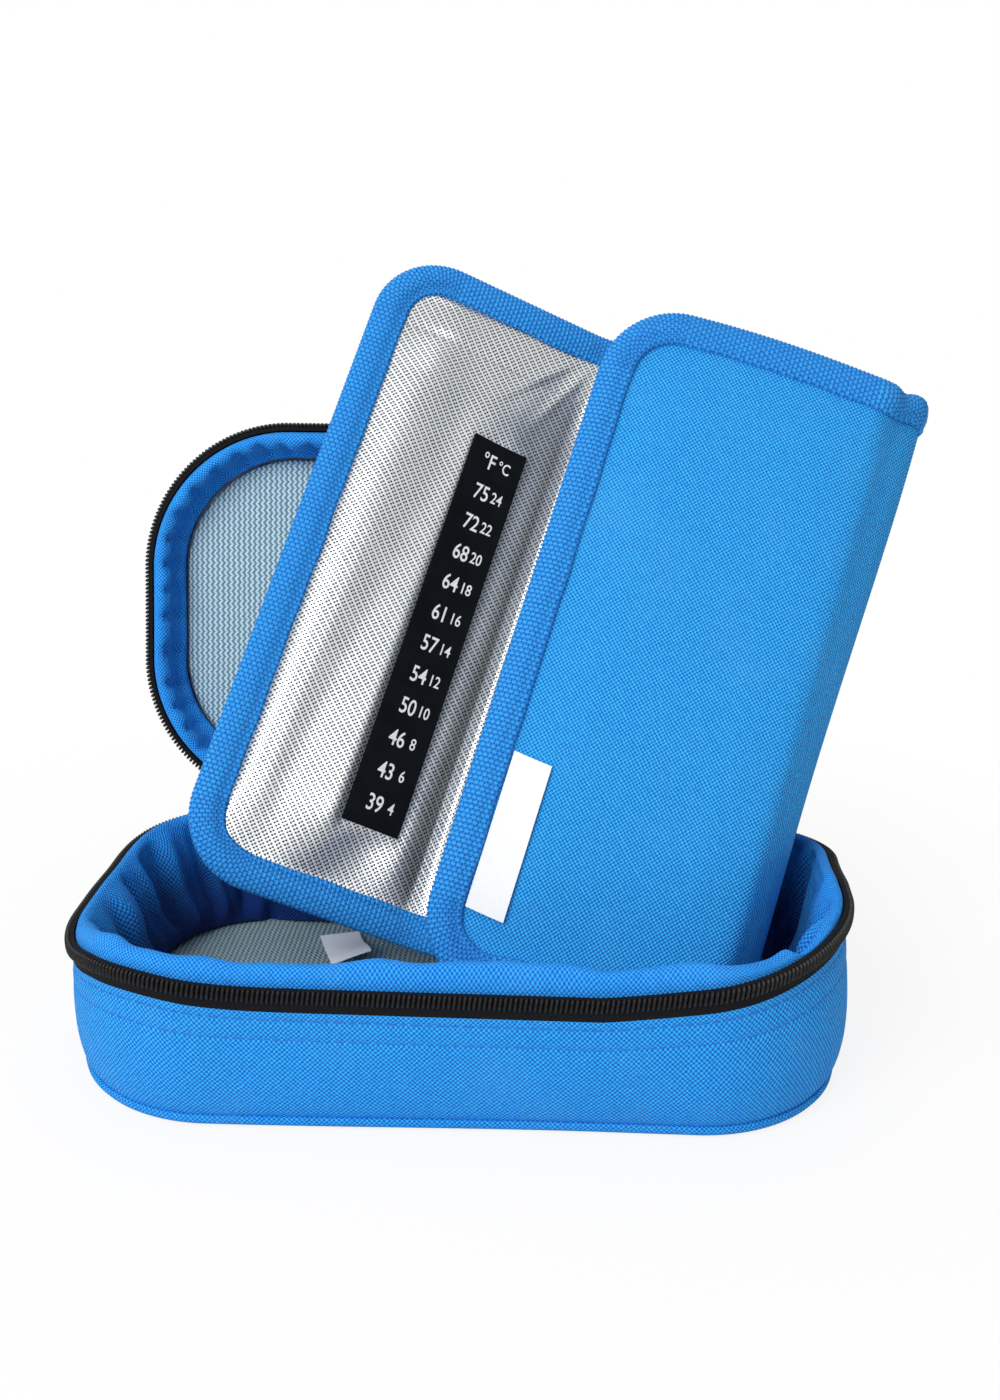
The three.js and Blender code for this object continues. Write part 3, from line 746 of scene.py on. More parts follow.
@dataclass(frozen=True)
class SpacerMesh(Finish):
    """Knitted spacer mesh: pale zigzag yarns with shaded gaps."""

    yarn: Colour
    gap: Colour
    wale: float
    course: float
    wander_size: float = 5 * MM
    fuzz_size: float = 0.8 * MM
    depth: float = 0.35 * MM

    def draw(self, sketch: ShaderSketch) -> None:
        """Draws the finish.

        Args:
            sketch: The material, still empty.
        """
        across, along = sketch.cloth_map()
        wander = (sketch.speckle(self.wander_size) - 0.5) * (0.4 * self.wale)
        course = along / self.course
        zigzag = abs(course.fraction() - 0.5) * 2
        yarn = (((across + wander) / self.wale + zigzag * 0.45) * (2 * math.pi)).sin() * 0.5 + 0.5
        knot = abs((course * (2 * math.pi)).sin())
        height = yarn * 0.7 + knot * yarn * 0.3
        fuzz = sketch.speckle(self.fuzz_size, 1.0)
        share = (height + fuzz * 0.25).above(0.2, 0.85)
        sketch.set(
            Base_Color=sketch.blend(share, self.gap, self.yarn),
            Roughness=0.9 - share * 0.15,
            Normal=sketch.relief(height + fuzz * 0.2, self.depth),
            Specular_IOR_Level=0.25,
        )


@dataclass(frozen=True)
class FineFinish(Finish):
    """A plain surface with a fine grain: thread, nylon, enamel, film, ink, satin or foam."""

    colour: Colour
    shade: Colour
    grain: float = 0.4 * MM
    roughness: float = 0.6
    depth: float = 0.03 * MM
    metallic: float = 0.0
    specular: float = 0.5
    ribs: float = 0.0

    def draw(self, sketch: ShaderSketch) -> None:
        """Draws the finish.

        Args:
            sketch: The material, still empty.
        """
        grain = sketch.speckle(self.grain, 3.0)
        height = grain
        if self.ribs:
            along, across = sketch.cloth_map()
            turn = math.pi / self.ribs
            height = grain * 0.4 + ((along * turn).sin() * (across * turn).sin() * 0.5 + 0.5) * 0.6
        sketch.set(
            Base_Color=sketch.blend(height.above(0.25, 0.75), self.shade, self.colour),
            Roughness=self.roughness + grain * 0.12,
            Normal=sketch.relief(height, self.depth),
        )
        sketch.set(Metallic=self.metallic, Specular_IOR_Level=self.specular)


class Finishes:
    """Every finish of the case."""

    # In the woven cloths and the tape, gap is painted shade between threads and ribs
    cloth = WovenCloth("oxford_cloth", top=(0.047, 0.525, 1.0), gap=(0.005, 0.16, 0.62))
    wall = WovenCloth("wall_cloth", top=(0.036, 0.47, 1.0), gap=(0.003, 0.14, 0.60))
    lining = WovenCloth(
        "lining_cloth", top=(0.034, 0.42, 1.0), gap=(0.003, 0.13, 0.60),
        # shade: the colour of the lining's painted shade deep in the tray
        pitch=0.6 * MM, depth=0.25 * MM, shade=(0.001, 0.05, 0.31),
    )
    tape = RibbedTape("binding_tape", top=(0.045, 0.43, 0.95), gap=(0.003, 0.09, 0.42))
    foil = FoilCloth("silver_foil_cloth", bright=(0.66, 0.68, 0.69), dark=(0.03, 0.035, 0.045))
    mesh = SpacerMesh(
        "spacer_mesh", yarn=(0.58, 0.80, 0.90), gap=(0.16, 0.27, 0.33), wale=1.7 * MM, course=2.0 * MM
    )
    floor_mesh = SpacerMesh(
        "floor_mesh", yarn=(0.36, 0.50, 0.52), gap=(0.13, 0.21, 0.23), wale=1.5 * MM, course=1.6 * MM
    )
    thread = FineFinish("blue_thread", colour=(0.014, 0.20, 0.64), shade=(0.006, 0.10, 0.42), roughness=0.7)
    grey_thread = FineFinish("grey_thread", colour=(0.42, 0.45, 0.48), shade=(0.22, 0.25, 0.28))
    zip_tape = FineFinish(
        "zip_tape_weave", colour=(0.010, 0.010, 0.012), shade=(0.003, 0.003, 0.004),
        grain=0.6 * MM, roughness=0.8, depth=0.12 * MM, specular=0.12, ribs=0.4 * MM,
    )
    nylon = FineFinish(
        "zip_nylon", colour=(0.022, 0.021, 0.022), shade=(0.006, 0.006, 0.006),
        grain=0.7 * MM, roughness=0.36, depth=0.02 * MM, specular=0.22,
    )
    enamel = FineFinish(
        "zip_enamel", colour=(0.020, 0.020, 0.022), shade=(0.012, 0.012, 0.013),
        grain=1.5 * MM, roughness=0.3, depth=0.01 * MM, metallic=0.5,
    )
    film = FineFinish(
        "thermometer_film", colour=(0.006, 0.008, 0.010), shade=(0.004, 0.005, 0.007),
        grain=6 * MM, roughness=0.4, depth=0.02 * MM, specular=0.03,
    )
    ink = FineFinish(
        "white_ink", colour=(0.84, 0.86, 0.88), shade=(0.72, 0.75, 0.78),
        grain=1.2 * MM, roughness=0.5, depth=0.005 * MM,
    )
    satin = FineFinish(
        "label_satin", colour=(0.93, 0.94, 0.95), shade=(0.80, 0.82, 0.84),
        grain=0.8 * MM, roughness=0.6, depth=0.05 * MM, ribs=0.35 * MM,
    )
    foam = FineFinish(
        "white_foam", colour=(0.85, 0.85, 0.82), shade=(0.7, 0.7, 0.67),
        grain=1.0 * MM, roughness=0.9, depth=0.2 * MM,
    )


@dataclass
class Workshop:
    """Hands each finished piece to the frame and keeps count."""

    made: list[str] = field(default_factory=list)

    def dress(
        self, piece: Piece, finish: Finish, slot: Slot, nodes: tuple[str, ...] = (), angle: float = SOFT_ANGLE
    ) -> None:
        """Shades a piece, gives it its finish and hides the CAD nodes that it stands for.

        Args:
            piece: The piece.
            finish: Its finish.
            slot: The record's slot for that finish; not used.
            nodes: The CAD nodes that it replaces.
            angle: The sharpest edge in degrees that is shaded smooth, or 0 to leave the faces flat.
        """
        if angle:
            only(piece)
            bpy.ops.object.shade_smooth_by_angle(angle=math.radians(angle))
        piece.data.materials.clear()
        piece.data.materials.append(finish.material())
        if nodes:
            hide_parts(*nodes)
        self.made.append(piece.name)
        LOG.info("%s: %d faces", piece.name, len(piece.data.polygons))

    def mount(
        self, body: Body, piece: Piece, finish: Finish, slot: Slot, *nodes: str, angle: float = SOFT_ANGLE
    ) -> None:
        """Dresses a piece that moves with one body; its other arguments are those of dress."""
        self.dress(piece, finish, slot, nodes, angle)
        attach(piece, body.value)

    def pad(self, body: Body, piece: Piece, node: str) -> None:
        """Mounts a foam core in place of a CAD node."""
        self.mount(body, piece, Finishes.foam, Slot.FOAM, node)


# The case


@dataclass(frozen=True)
class RimOutline:
    """The rounded oblong that the rim follows, from the middle of the back round by the left."""

    length: float = 210 * MM
    width: float = 116 * MM
    corner: float = 42 * MM

    def runs(self) -> list[tuple[float, ...]]:
        """The straight and round stretches of the rim, in order.

        Returns:
            The stretches, as follow takes them.
        """
        hx, hy = self.length / 2 - self.corner, self.width / 2 - self.corner
        arc, bend = math.pi / 2 * self.corner, 1 / self.corner
        return [
            (hx, 0, hy, -1, 0, 90, 0),
            (arc, -hx, hy, 0, 0, 90, bend),
            (2 * hy, -hx, hy, 0, -1, 180, 0),
            (arc, -hx, -hy, 0, 0, 180, bend),
            (2 * hx, -hx, -hy, 1, 0, 270, 0),
            (arc, hx, -hy, 0, 0, 270, bend),
            (2 * hy, hx, -hy, 0, 1, 360, 0),
            (arc, hx, hy, 0, 0, 360, bend),
            (hx, hx, hy, -1, 0, 450, 0),
        ]

    @property
    def girth(self) -> float:
        """The distance round the rim."""
        return sum(run[0] for run in self.runs())

    def at(self, travel: Array) -> tuple[Array, Array]:
        """Points of the rim and their outward directions, as rows of X and Y."""
        return follow(self.runs(), self.corner, travel)

    def back_corner(self, angle: float) -> float:
        """The travel to a point of the back corner, by its angle in degrees from straight back."""
        return self.length / 2 - self.corner + math.radians(angle) * self.corner


@dataclass(frozen=True)
class LiningLine:
    """A line of the lining, from behind the zip over the rim: millimetres out and up from the rim."""

    knots: tuple[Span, ...]

    def across(self, height: float, foot: Span) -> Array:
        """Offsets and heights of the whole line, from a rim of this height down to its foot."""
        return through([*((out * MM, height + up * MM) for out, up in self.knots), foot], 5)


FRONT_ROLL = LiningLine((
    (-1.3, -2.7), (-1.2, -0.4), (-1.7, 2.6), (-3.5, 4.5), (-5.9, 4.0), (-7.6, 1.2), (-7.4, -3.4),
    (-6.2, -9), (-6.6, -20),
))
LOOSE_END = LiningLine((
    (-1.3, -2.7), (-1.2, -0.6), (-1.6, 1.2), (-3.0, 2.0), (-4.9, 0.6), (-6.8, -3.2), (-8.4, -9.5),
    (-9.6, -17), (-10.6, -26),
))
LID_PUFF = LiningLine((
    (-1.3, -2.7), (-1.2, -0.4), (-2.0, 1.5), (-3.7, 2.1), (-5.4, 1.2), (-6.2, -0.9), (-5.2, -3.0),
    (-5.4, -5.8), (-6.6, -8.6), (-8.6, -10.4),
))


@dataclass(frozen=True)
class SettledForm:
    """How far the soft tray has settled from its cut form, by place along the case.

    A zone is the stretch over which a change sets in; a place is a middle and a width.
    """

    foot_spread: float = 2.5 * MM
    foot_zone: Span = (-40 * MM, 70 * MM)
    right_draw: float = 2.7 * MM
    right_zone: Span = (66 * MM, 104 * MM)
    right_end: Span = (0.0, 50 * MM)
    left_draw: float = 1.8 * MM
    left_zone: Span = (60 * MM, 100 * MM)
    left_place: Span = (18 * MM, 16 * MM)
    lift: float = 10 * MM
    lift_from: float = 38 * MM
    lift_over: float = 67 * MM
    lift_power: float = 1.2
    bump: float = 2.5 * MM
    bump_place: Span = (-80 * MM, 18 * MM)
    dip: float = 2.2 * MM
    dip_zone: Span = (92 * MM, 105 * MM)
    level_from: float = -8 * MM
    level_over: float = 60 * MM

    def spread(self, at: Array, share: Array) -> Array:
        """How far the wall stands out: wider at the foot on the left, drawn in below the rim at both ends.

        Args:
            at: Points of the rim.
            share: Height as a share of the wall's.

        Returns:
            The distance outwards at each place.
        """
        x, y = at[..., 0], at[..., 1]
        foot = self.foot_spread * ramp(-x, *self.foot_zone)
        right = -self.right_draw * ramp(x, *self.right_zone) * (1 - ramp(y, *self.right_end))
        left = -self.left_draw * ramp(-x, *self.left_zone) * crease(y, *self.left_place)
        return foot * (1 - share) ** 2 + (left + right) * share

    def rise(self, at: Array) -> Array:
        """How far the rim rides above or below level, mostly up at the right front end.

        Args:
            at: Points of the rim.

        Returns:
            The distance up at each point.
        """
        x, y = at[:, 0], at[:, 1]
        right = self.lift * np.clip((x - self.lift_from) / self.lift_over, 0, 1) ** self.lift_power
        left = self.bump * crease(x, *self.bump_place) - self.dip * ramp(-x, *self.dip_zone)
        return (right + left) * (1 - np.clip((y - self.level_from) / self.level_over, 0, 1))


@dataclass(frozen=True)
class Gathers:
    """The unevenness of the lining, by travel along the rim and by share of its own line.

    A stretch is where it starts, where it ends and the length of its slopes.
    """

    step: float = 1.3 * MM
    left_end: Stretch = (62 * MM, 176 * MM, 9 * MM)
    right_end: Stretch = (378 * MM, 514 * MM, 10 * MM)
    waves: tuple[tuple[float, int, float], ...] = ((0.6, 15, 0.0), (0.3, 23, 1.3), (0.25, 38, 0.4))
    over_rim: Stretch = (0.12, 0.75, 0.22)
    inside_from: Span = (0.4, 0.65)
    inside_to: Span = (0.9, 1.0)
    puff: float = 0.5 * MM
    rough_size: float = 11 * MM
    rough_out: float = 0.45 * MM
    rough_up: float = 0.4 * MM
    broad_size: float = 17 * MM
    broad_stretch: float = 0.35
    broad_puff: float = 0.8 * MM
    drape_pitch: float = 21 * MM
    drape_depth: float = 2.8 * MM
    drape_uneven: float = 3.2 * MM
    behind: Span = (55 * MM, 80 * MM)
    foot: Span = (0.78, 1.0)
    foot_in: float = 6 * MM
    foot_up: float = 2.8 * MM
    full_place: Span = (300 * MM, 40 * MM)
    fuller: float = 2.6 * MM
    flat_stretch: Stretch = (352 * MM, 408 * MM, 26 * MM)
    flatter: float = 3.4 * MM
    slim_stretch: Stretch = (404 * MM, 520 * MM, 22 * MM)
    slimmer: float = 3.2 * MM
    pinches: tuple[float, ...] = (172 * MM, 384 * MM)
    pinch_width: float = 2.6 * MM
    pinch_down: float = 2.4 * MM
    pinch_in: float = 1.2 * MM
    tuck_size: float = 24 * MM
    tuck_in: float = 2.0 * MM
    tuck_down: float = 1.2 * MM

    def loose(self, travel: Array) -> Array:
        """Where the lining hangs loose inside the ends of the tray, as a share."""
        return np.maximum(plateau(travel, *self.left_end), plateau(travel, *self.right_end))

    def gather(self, turns: Array) -> Array:
        """The waves of the gathers, by the angle round the rim."""
        return sum(size * np.cos(count * turns + phase) for size, count, phase in self.waves)

    def drape(self, travel: Array, share: Array, broad: Array) -> Array:
        """The sharp folds of the loose lining.

        Args:
            travel: Distance along the rim.
            share: Share of the lining's line.
            broad: Broad unevenness, which bends the folds.

        Returns:
            How far the folds stand in.
        """
        phase = 2 * np.pi * travel / self.drape_pitch + 2.4 * broad + 1.5 * share
        folds = 0.75 * np.arcsin(0.98 * np.sin(phase)) + 0.3 * np.sin(2.3 * phase + 1)
        return self.drape_depth * folds + self.drape_uneven * broad

    def fullness(self, travel: Array) -> Array:
        """How much higher the roll stands: fuller at the front, flatter before the right-hand corner."""
        fuller = self.fuller * crease(travel, *self.full_place)
        return fuller - self.flatter * plateau(travel, *self.flat_stretch)


@dataclass
class CaseHalf:
    """One half of the case, worked out as an upright tray on its own floor.

    Sway is 1 for a half that has settled and 0 for one that keeps its cut form. Pucker is the spacing
    of the tucks in the lining, and trim is how far the corners are drawn in.
    """

    prefix: str
    body: Body
    height: float
    pad: float
    mesh: Finish
    shop: Workshop
    roll: LiningLine
    loose: LiningLine
    sway: float = 0.0
    pucker: float = 0.0
    trim: float = 0.0
    place: Array = field(default_factory=lambda: np.eye(4))
    rim: RimOutline = RimOutline()
    settled: SettledForm = SettledForm()
    gathers: Gathers = Gathers()
    draft: float = 4 * MM
    cloth: float = 1 * MM
    foam: float = 3 * MM
    wall_cloth: float = 0.9 * MM
    floor_cloth: float = 0.8 * MM
    lining_cloth: float = 0.8 * MM
    tape: float = 1.2 * MM
    seam: float = 3.2 * MM
    zip_band: float = 6 * MM
    coil_height: float = 3.8 * MM
    coil_depth: float = 1.6 * MM
    coil_pitch: float = 1.25 * MM
    coil_rise: float = 0.4 * MM
    coil_stop: float = 14.0
    coil_slant: float = 9.0
    hinge_reach: float = 52 * MM
    stitch_rows: Span = (2.6 * MM, 7.9 * MM)
    stitch_pitch: float = 3.2 * MM
    crown: float = 0.8 * MM
    puff: float = 0.8 * MM
    step: float = 2 * MM

    @property
    def zip_foot(self) -> float:
        """The height of the zip tape's lower edge."""
        return self.height - self.zip_band

    @property
    def pad_floor(self) -> float:
        """The height of the mesh pad's underside."""
        return self.cloth + self.foam + 0.6 * MM

    @property
    def foam_top(self) -> float:
        """The height of the wall foam's upper edge."""
        return self.height - self.zip_band / 2

    def build(self) -> None:
        """Makes every piece of this half."""
        self.floor_panel()
        self.side_panel()
        self.topstitching()
        self.floor_foam()
        self.wall_foam()
        self.gathered_lining()
        self.mesh_pad()
        self.zip_tape()
        self.zip_coil()

    def round_travel(self) -> Array:
        """Evenly spaced distances right round the rim, ending where they start."""
        return np.linspace(0, self.rim.girth, round(self.rim.girth / self.step) + 1)

    def spots(self, travel: Array, offset: Array, z: Array) -> Array:
        """Points at offsets from the rim and heights, in the frame.

        Args:
            travel: Distances along the rim, one for each row.
            offset: How far out each point stands, as rows by columns.
            z: The height of each point, as rows by columns.

        Returns:
            The points, as rows by columns by three.
        """
        at, out = self.rim.at(travel)
        reach = offset + self.settle(at[:, None], out[:, None], z)
        flat = at[:, None, :] + out[:, None, :] * reach[..., None]
        lift = self.sway * self.settled.rise(at)
        raised = z + lift[:, None] * ramp(z, 6 * MM, self.zip_foot)
        local = np.stack([flat[..., 0], flat[..., 1], raised, np.ones_like(z)], -1)
        return (local @ self.place.T)[..., :3]

    def settle(self, at: Array, out: Array, z: Array) -> Array:
        """How far the wall has settled outwards at points of the rim and heights, less its drawn-in corners."""
        spread = self.settled.spread(at, ramp(z, 0.0, self.zip_foot))
        return self.sway * spread - self.trim * np.abs(2 * out[..., 0] * out[..., 1])

    def lean(self, z: Array) -> Array:
        """How far the wall stands inside the rim at a height."""
        share = (z - self.seam) / (self.zip_foot - self.seam)
        return -self.draft * (1 - np.clip(share, 0, 1)) ** 3.5

    def foam_face(self, z: Array) -> Array:
        """The inner face of the wall's foam at a height."""
        return self.lean(z) - self.cloth - self.foam

    def wall_offset(self, travel: Array, z: Array) -> Array:
        """The outside of the wall: leaning, slightly puffed, and drawn in along the stitching.

        Args:
            travel: Distances along the rim.
            z: Heights.

        Returns:
            The offset from the rim at each place.
        """
        low, high = self.seam, self.zip_foot
        puff = self.puff * np.sin(np.pi * np.clip((z - low) / (high - low), 0, 1))
        at, _ = self.rim.at(travel.ravel())
        flat = np.concatenate([at, z.reshape(-1, 1)], -1)
        uneven = rumple(flat, 26 * MM, 3.0).reshape(z.shape) * puff * 0.7
        drawn = sum(crease(z, high - row, 0.8 * MM) for row in self.stitch_rows)
        return self.lean(z) + puff + uneven - 0.34 * MM * drawn

    def side_panel(self) -> None:
        """The outer cloth wall, sewn to the zip above and to the floor panel below."""
        travel = self.round_travel()
        low, high = self.seam, self.zip_foot - 0.2 * MM
        marks = [low, high]
        for row in self.stitch_rows:
            marks += [self.zip_foot - row + shift * MM for shift in (-1.2, -0.6, 0, 0.6, 1.2)]
        marks += list(np.linspace(low, high, max(6, round(self.height / (2.6 * MM)))))
        levels = np.array(sorted(set(np.round(np.array(marks), 5))))
        levels = levels[(levels >= self.seam - 1e-6) & (levels <= self.zip_foot)]
        s, z = lattice(travel, levels)
        offset = self.wall_offset(s, z)
        offset[:, 0] -= 0.5 * MM
        piece = cloth_grid(f"{self.prefix}_wall_cloth", self.spots(travel, offset, z), s, z)
        weld(piece)
        thicken(piece, self.wall_cloth)
        self.shop.mount(self.body, piece, Finishes.wall, Slot.CLOTH, f"{self.prefix}_side_panel")
        width = max(self.zip_foot - self.seam, 10.5 * MM)
        self.rim.girth

    def topstitching(self) -> None:
        """Two rows of stitches under the zip."""
        ahead_by = 0.5 * MM
        frames = []
        for row in self.stitch_rows:
            travel = np.arange(self.hinge_reach, self.rim.girth - self.hinge_reach, self.stitch_pitch)
            z = np.full((len(travel), 1), self.zip_foot - row)
            here, there, above = (
                self.spots(t, self.wall_offset(t[:, None], h), h)[:, 0]
                for t, h in ((travel, z), (travel + ahead_by, z), (travel, z + ahead_by))
            )
            frames.append(frames_along(here, there - here, np.cross(there - here, above - here)))
        pattern = thread_stitch(2.5 * MM, 0.5 * MM)
        piece = stamp(f"{self.prefix}_topstitching", pattern, np.concatenate(frames))
        self.shop.mount(self.body, piece, Finishes.thread, Slot.CLOTH)

    def rings(self, name: str, section: list[Point], flip: bool = False, plan: bool = True) -> Piece:
        """A dish or pad through rings round the case, closed at its middle.

        Args:
            name: The piece's name.
            section: How far towards the middle each ring is drawn as a share, its offset and its height.
            flip: Whether the faces are turned over.
            plan: Whether the cloth lies flat to its edge, or runs round the edge as a band.

        Returns:
            The piece, welded.
        """
        travel = self.round_travel()
        columns, flats = [], []
        at, out = self.rim.at(travel)
        gone, last = 0.0, section[0]
        for share, offset, z in section:
            reach = offset + self.settle(at, out, np.full(len(at), z))
            flat = (at + out * reach[:, None]) * (1 - share)
            gone += math.hypot(offset - last[1], z - last[2])
            last = (share, offset, z)
            flats.append(flat if share or plan else np.stack([travel, np.full_like(travel, gone)], -1))
            columns.append(np.concatenate([flat, np.full((len(flat), 1), z), np.ones((len(flat), 1))], -1))
        local = np.stack(columns, 1)
        swell = rumple(local[..., :3], 30 * MM, 9.0) * 0.35 * MM
        inside = np.array([share for share, _, _ in section])
        local[..., 2] += swell * (inside > 0) * (local[..., 2] > 0.5 * MM)
        points = (local @ self.place.T)[..., :3]
        u, v = np.moveaxis(np.stack(flats, 1), -1, 0)
        piece = cloth_grid(name, points, u, v, flip)
        weld(piece)
        return piece

    def floor_panel(self) -> None:
        """The outer floor, a cloth dish whose edge turns up to the seam with the wall."""
        edge = -self.draft
        turned = ((-0.9, 3.5), (0.3, 3.4), (0.7, 2.7), (0.5, 1.7), (-0.2, 0.8), (-1.3, 0.2), (-2.6, 0.0))
        lip = [(0, edge + out * MM, up * MM) for out, up in turned]
        inner = [(share, edge - 2.6 * MM, 0.0) for share in (0.004, 0.15, 0.35, 0.6, 0.85, 1.0)]
        piece = self.rings(f"{self.prefix}_floor_cloth", lip + inner, flip=True, plan=False)
        thicken(piece, self.floor_cloth)
        self.shop.mount(self.body, piece, Finishes.wall, Slot.CLOTH, f"{self.prefix}_floor_panel")
        flat = (self.rim.length - 2 * self.draft, self.rim.width - 2 * self.draft)
        0.94 * flat[0] * flat[1]

    def floor_foam(self) -> None:
        """The foam board on the floor panel."""
        low, edge, rounding = self.cloth + 0.3 * MM, -self.draft - 3.8 * MM, 0.5 * MM
        top = low + self.foam
        section = [(1, edge, low), (0.5, edge, low), (0, edge - rounding, low), (0, edge, low + rounding)]
        section += [(0, edge, top - rounding), (0, edge - rounding, top - 0.2 * MM)]
        section += [(share, edge, top - 0.4 * MM) for share in (0.5, 1)]
        piece = self.rings(f"{self.prefix}_floor_padding", section)
        outward(piece)
        self.shop.pad(self.body, piece, f"{self.prefix}_floor_foam")

    def wall_foam(self) -> None:
        """The foam inside the wall."""
        travel = self.round_travel()
        levels = np.linspace(self.pad_floor, self.foam_top, 6)
        outer = [(self.lean(z) - self.cloth - 0.4 * MM, z) for z in levels]
        inner = [(self.foam_face(z), z) for z in levels[::-1]]
        section = np.array([*outer, *inner, outer[0]], float)
        offset, z = (lattice(travel, part)[1] for part in section.T)
        piece = cloth_grid(f"{self.prefix}_wall_padding", self.spots(travel, offset, z), travel[:, None], z)
        weld(piece)
        outward(piece)
        self.shop.pad(self.body, piece, f"{self.prefix}_wall_foam")

    def gathered_lining(self) -> None:
        """The puffy lining, gathered over the rim and creased down the inside."""
        form, girth = self.gathers, self.rim.girth
        travel = np.linspace(0, girth, round(girth / form.step) + 1)
        foot = (self.foam_face(self.pad_floor) - 1.4 * MM, self.pad_floor + 0.4 * MM)
        roll_line, loose_line = (line.across(self.height, foot) for line in (self.roll, self.loose))
        s, t = lattice(travel, np.linspace(0, 1, len(roll_line)))
        slack = self.sway * form.loose(s)
        offset = roll_line[:, 0] * (1 - slack) + loose_line[:, 0] * slack
        z = roll_line[:, 1] * (1 - slack) + loose_line[:, 1] * slack
        at, _ = self.rim.at(travel)
        local = np.stack([np.broadcast_to(at[:, :1], s.shape), np.broadcast_to(at[:, 1:], s.shape), z], -1)
        turns = 2 * np.pi * s / girth
        gather = form.puff * form.gather(turns)
        rough = rumple(local, form.rough_size, 5.0)
        broad = rumple(local * np.array([1, 1, form.broad_stretch]), form.broad_size, 21.0)
        over_rim = plateau(t, *form.over_rim)
        inside = ramp(t, *form.inside_from) * (1 - ramp(t, *form.inside_to))
        offset -= over_rim * (gather + form.rough_out * rough)
        z += over_rim * (1 - inside) * (gather + form.rough_up * rough)
        offset -= inside * (form.broad_puff * np.clip(broad, -0.2, 1) + slack * form.drape(s, t, broad))
        behind = self.sway * (1 - ramp(np.minimum(s, girth - s), *form.behind))
        spread = np.maximum(slack, behind) * ramp(t, *form.foot)
        offset -= form.foot_in * spread
        z += form.foot_up * spread
        z += self.sway * over_rim * form.fullness(s)
        offset += self.sway * plateau(s, *form.slim_stretch) * inside * form.slimmer
        for fold in form.pinches:
            pinch = self.sway * crease(s, fold, form.pinch_width) * over_rim
            z -= pinch * form.pinch_down
            offset -= pinch * form.pinch_in
        if self.pucker:
            half_turns = round(girth / self.pucker) * turns / 2
            tuck = 1 - np.abs(np.sin(half_turns + 1.1 * rumple(local, form.tuck_size, 2.0)))
            puffed = plateau(t, 0.32, 0.66, 0.12) + 0.7 * plateau(t, 0.62, 0.95, 0.12)
            offset += puffed * tuck**1.5 * form.tuck_in
            z -= plateau(t, 0.24, 0.55, 0.12) * tuck**2 * form.tuck_down
        if self.sway:
            before_foam = self.foam_face(z) - self.lining_cloth - 0.3 * MM
            beside_foam = (t > 0.45) & (z < self.foam_top + 0.6 * MM)
            offset = np.where(beside_foam, np.minimum(offset, before_foam), offset)
        gone = gone_along(roll_line)
        piece = cloth_grid(f"{self.prefix}_gathered_lining", self.spots(travel, offset, z), s, gone)
        weld(piece)
        thicken(piece, self.lining_cloth)
        node = f"{self.prefix}_lining"
        self.shop.mount(self.body, piece, Finishes.lining, Slot.LINING, node, angle=SHEET_ANGLE)
        0.9 * gone[-1] * girth

    def mesh_pad(self) -> None:
        """The crowned mesh pad on the floor."""
        low = self.pad_floor + 0.1 * MM
        top = low + self.pad
        edge = self.foam_face(low) - 2.6 * MM
        shoulder = edge - 2 * MM
        section = [(1, edge, low), (0.5, edge, low), (0, edge - 0.4 * MM, low), (0, edge, low + 0.4 * self.pad)]
        section += [(0, edge - 0.5 * MM, low + 0.8 * self.pad), (0, shoulder, top)]
        shares = np.linspace(0.06, 1, 14)
        section += [(share, shoulder, top + self.crown * (1 - (1 - share) ** 2)) for share in shares]
        piece = self.rings(f"{self.prefix}_mesh_padding", section)
        outward(piece)
        self.shop.mount(self.body, piece, self.mesh, Slot.MESH, f"{self.prefix}_mesh_pad")

    def zip_tape(self) -> None:
        """The woven tape that carries the coil, sewn to the top of the wall."""
        travel = np.arange(self.hinge_reach, self.rim.girth - self.hinge_reach, self.step)
        levels = np.linspace(self.zip_foot - 0.6 * MM, self.height + 0.2 * MM, 9)
        s, z = lattice(travel, levels)
        offset = 0.45 * MM * ramp(z, self.zip_foot + 0.5 * MM, self.zip_foot + 2.5 * MM) - 0.05 * MM
        piece = cloth_grid(f"{self.prefix}_zip_webbing", self.spots(travel, offset, z), s, z)
        thicken(piece, self.tape)
        self.shop.mount(self.body, piece, Finishes.zip_tape, Slot.ZIP_TAPE, f"{self.prefix}_zip_tape")

    def coil_tooth(self) -> Piece:
        """One turn of the nylon coil: an upright loop with a rounded head.

        Returns:
            The turn, standing at the origin.
        """
        tooth = added(bpy.ops.mesh.primitive_uv_sphere_add, segments=8, ring_count=7, radius=0.5)
        for vertex in tooth.data.vertices:
            upright = abs(vertex.co.z) * 2
            vertex.co.xy *= 1 + 0.7 * upright * upright * (1 - upright)
            vertex.co.z = math.copysign(upright**0.7 / 2, vertex.co.z)
        slant = Matrix.Rotation(math.radians(self.coil_slant), 4, "Y")
        size = (0.98 * MM, self.coil_depth * 1.1, self.coil_height, 1.0)
        tooth.data.transform(slant @ Matrix.Diagonal(size))
        return tooth

    def zip_coil(self) -> None:
        """The coil's turns along the tape."""
        start = self.rim.back_corner(self.coil_stop)
        travel = np.arange(start, self.rim.girth - start, self.coil_pitch)
        z = np.full((len(travel), 1), self.height + self.coil_rise - self.coil_height / 2)
        out = np.full_like(z, 0.1 * MM + self.coil_depth / 2)
        here, there, above = (
            self.spots(t, out, h)[:, 0]
            for t, h in ((travel, z), (travel + 0.2 * MM, z), (travel, z + 1 * MM))
        )
        frames = frames_along(here, there - here, above - here)
        piece = stamp(f"{self.prefix}_zip_teeth", self.coil_tooth(), frames)
        self.shop.mount(self.body, piece, Finishes.nylon, Slot.ZIP_COIL, f"{self.prefix}_zip_coil")


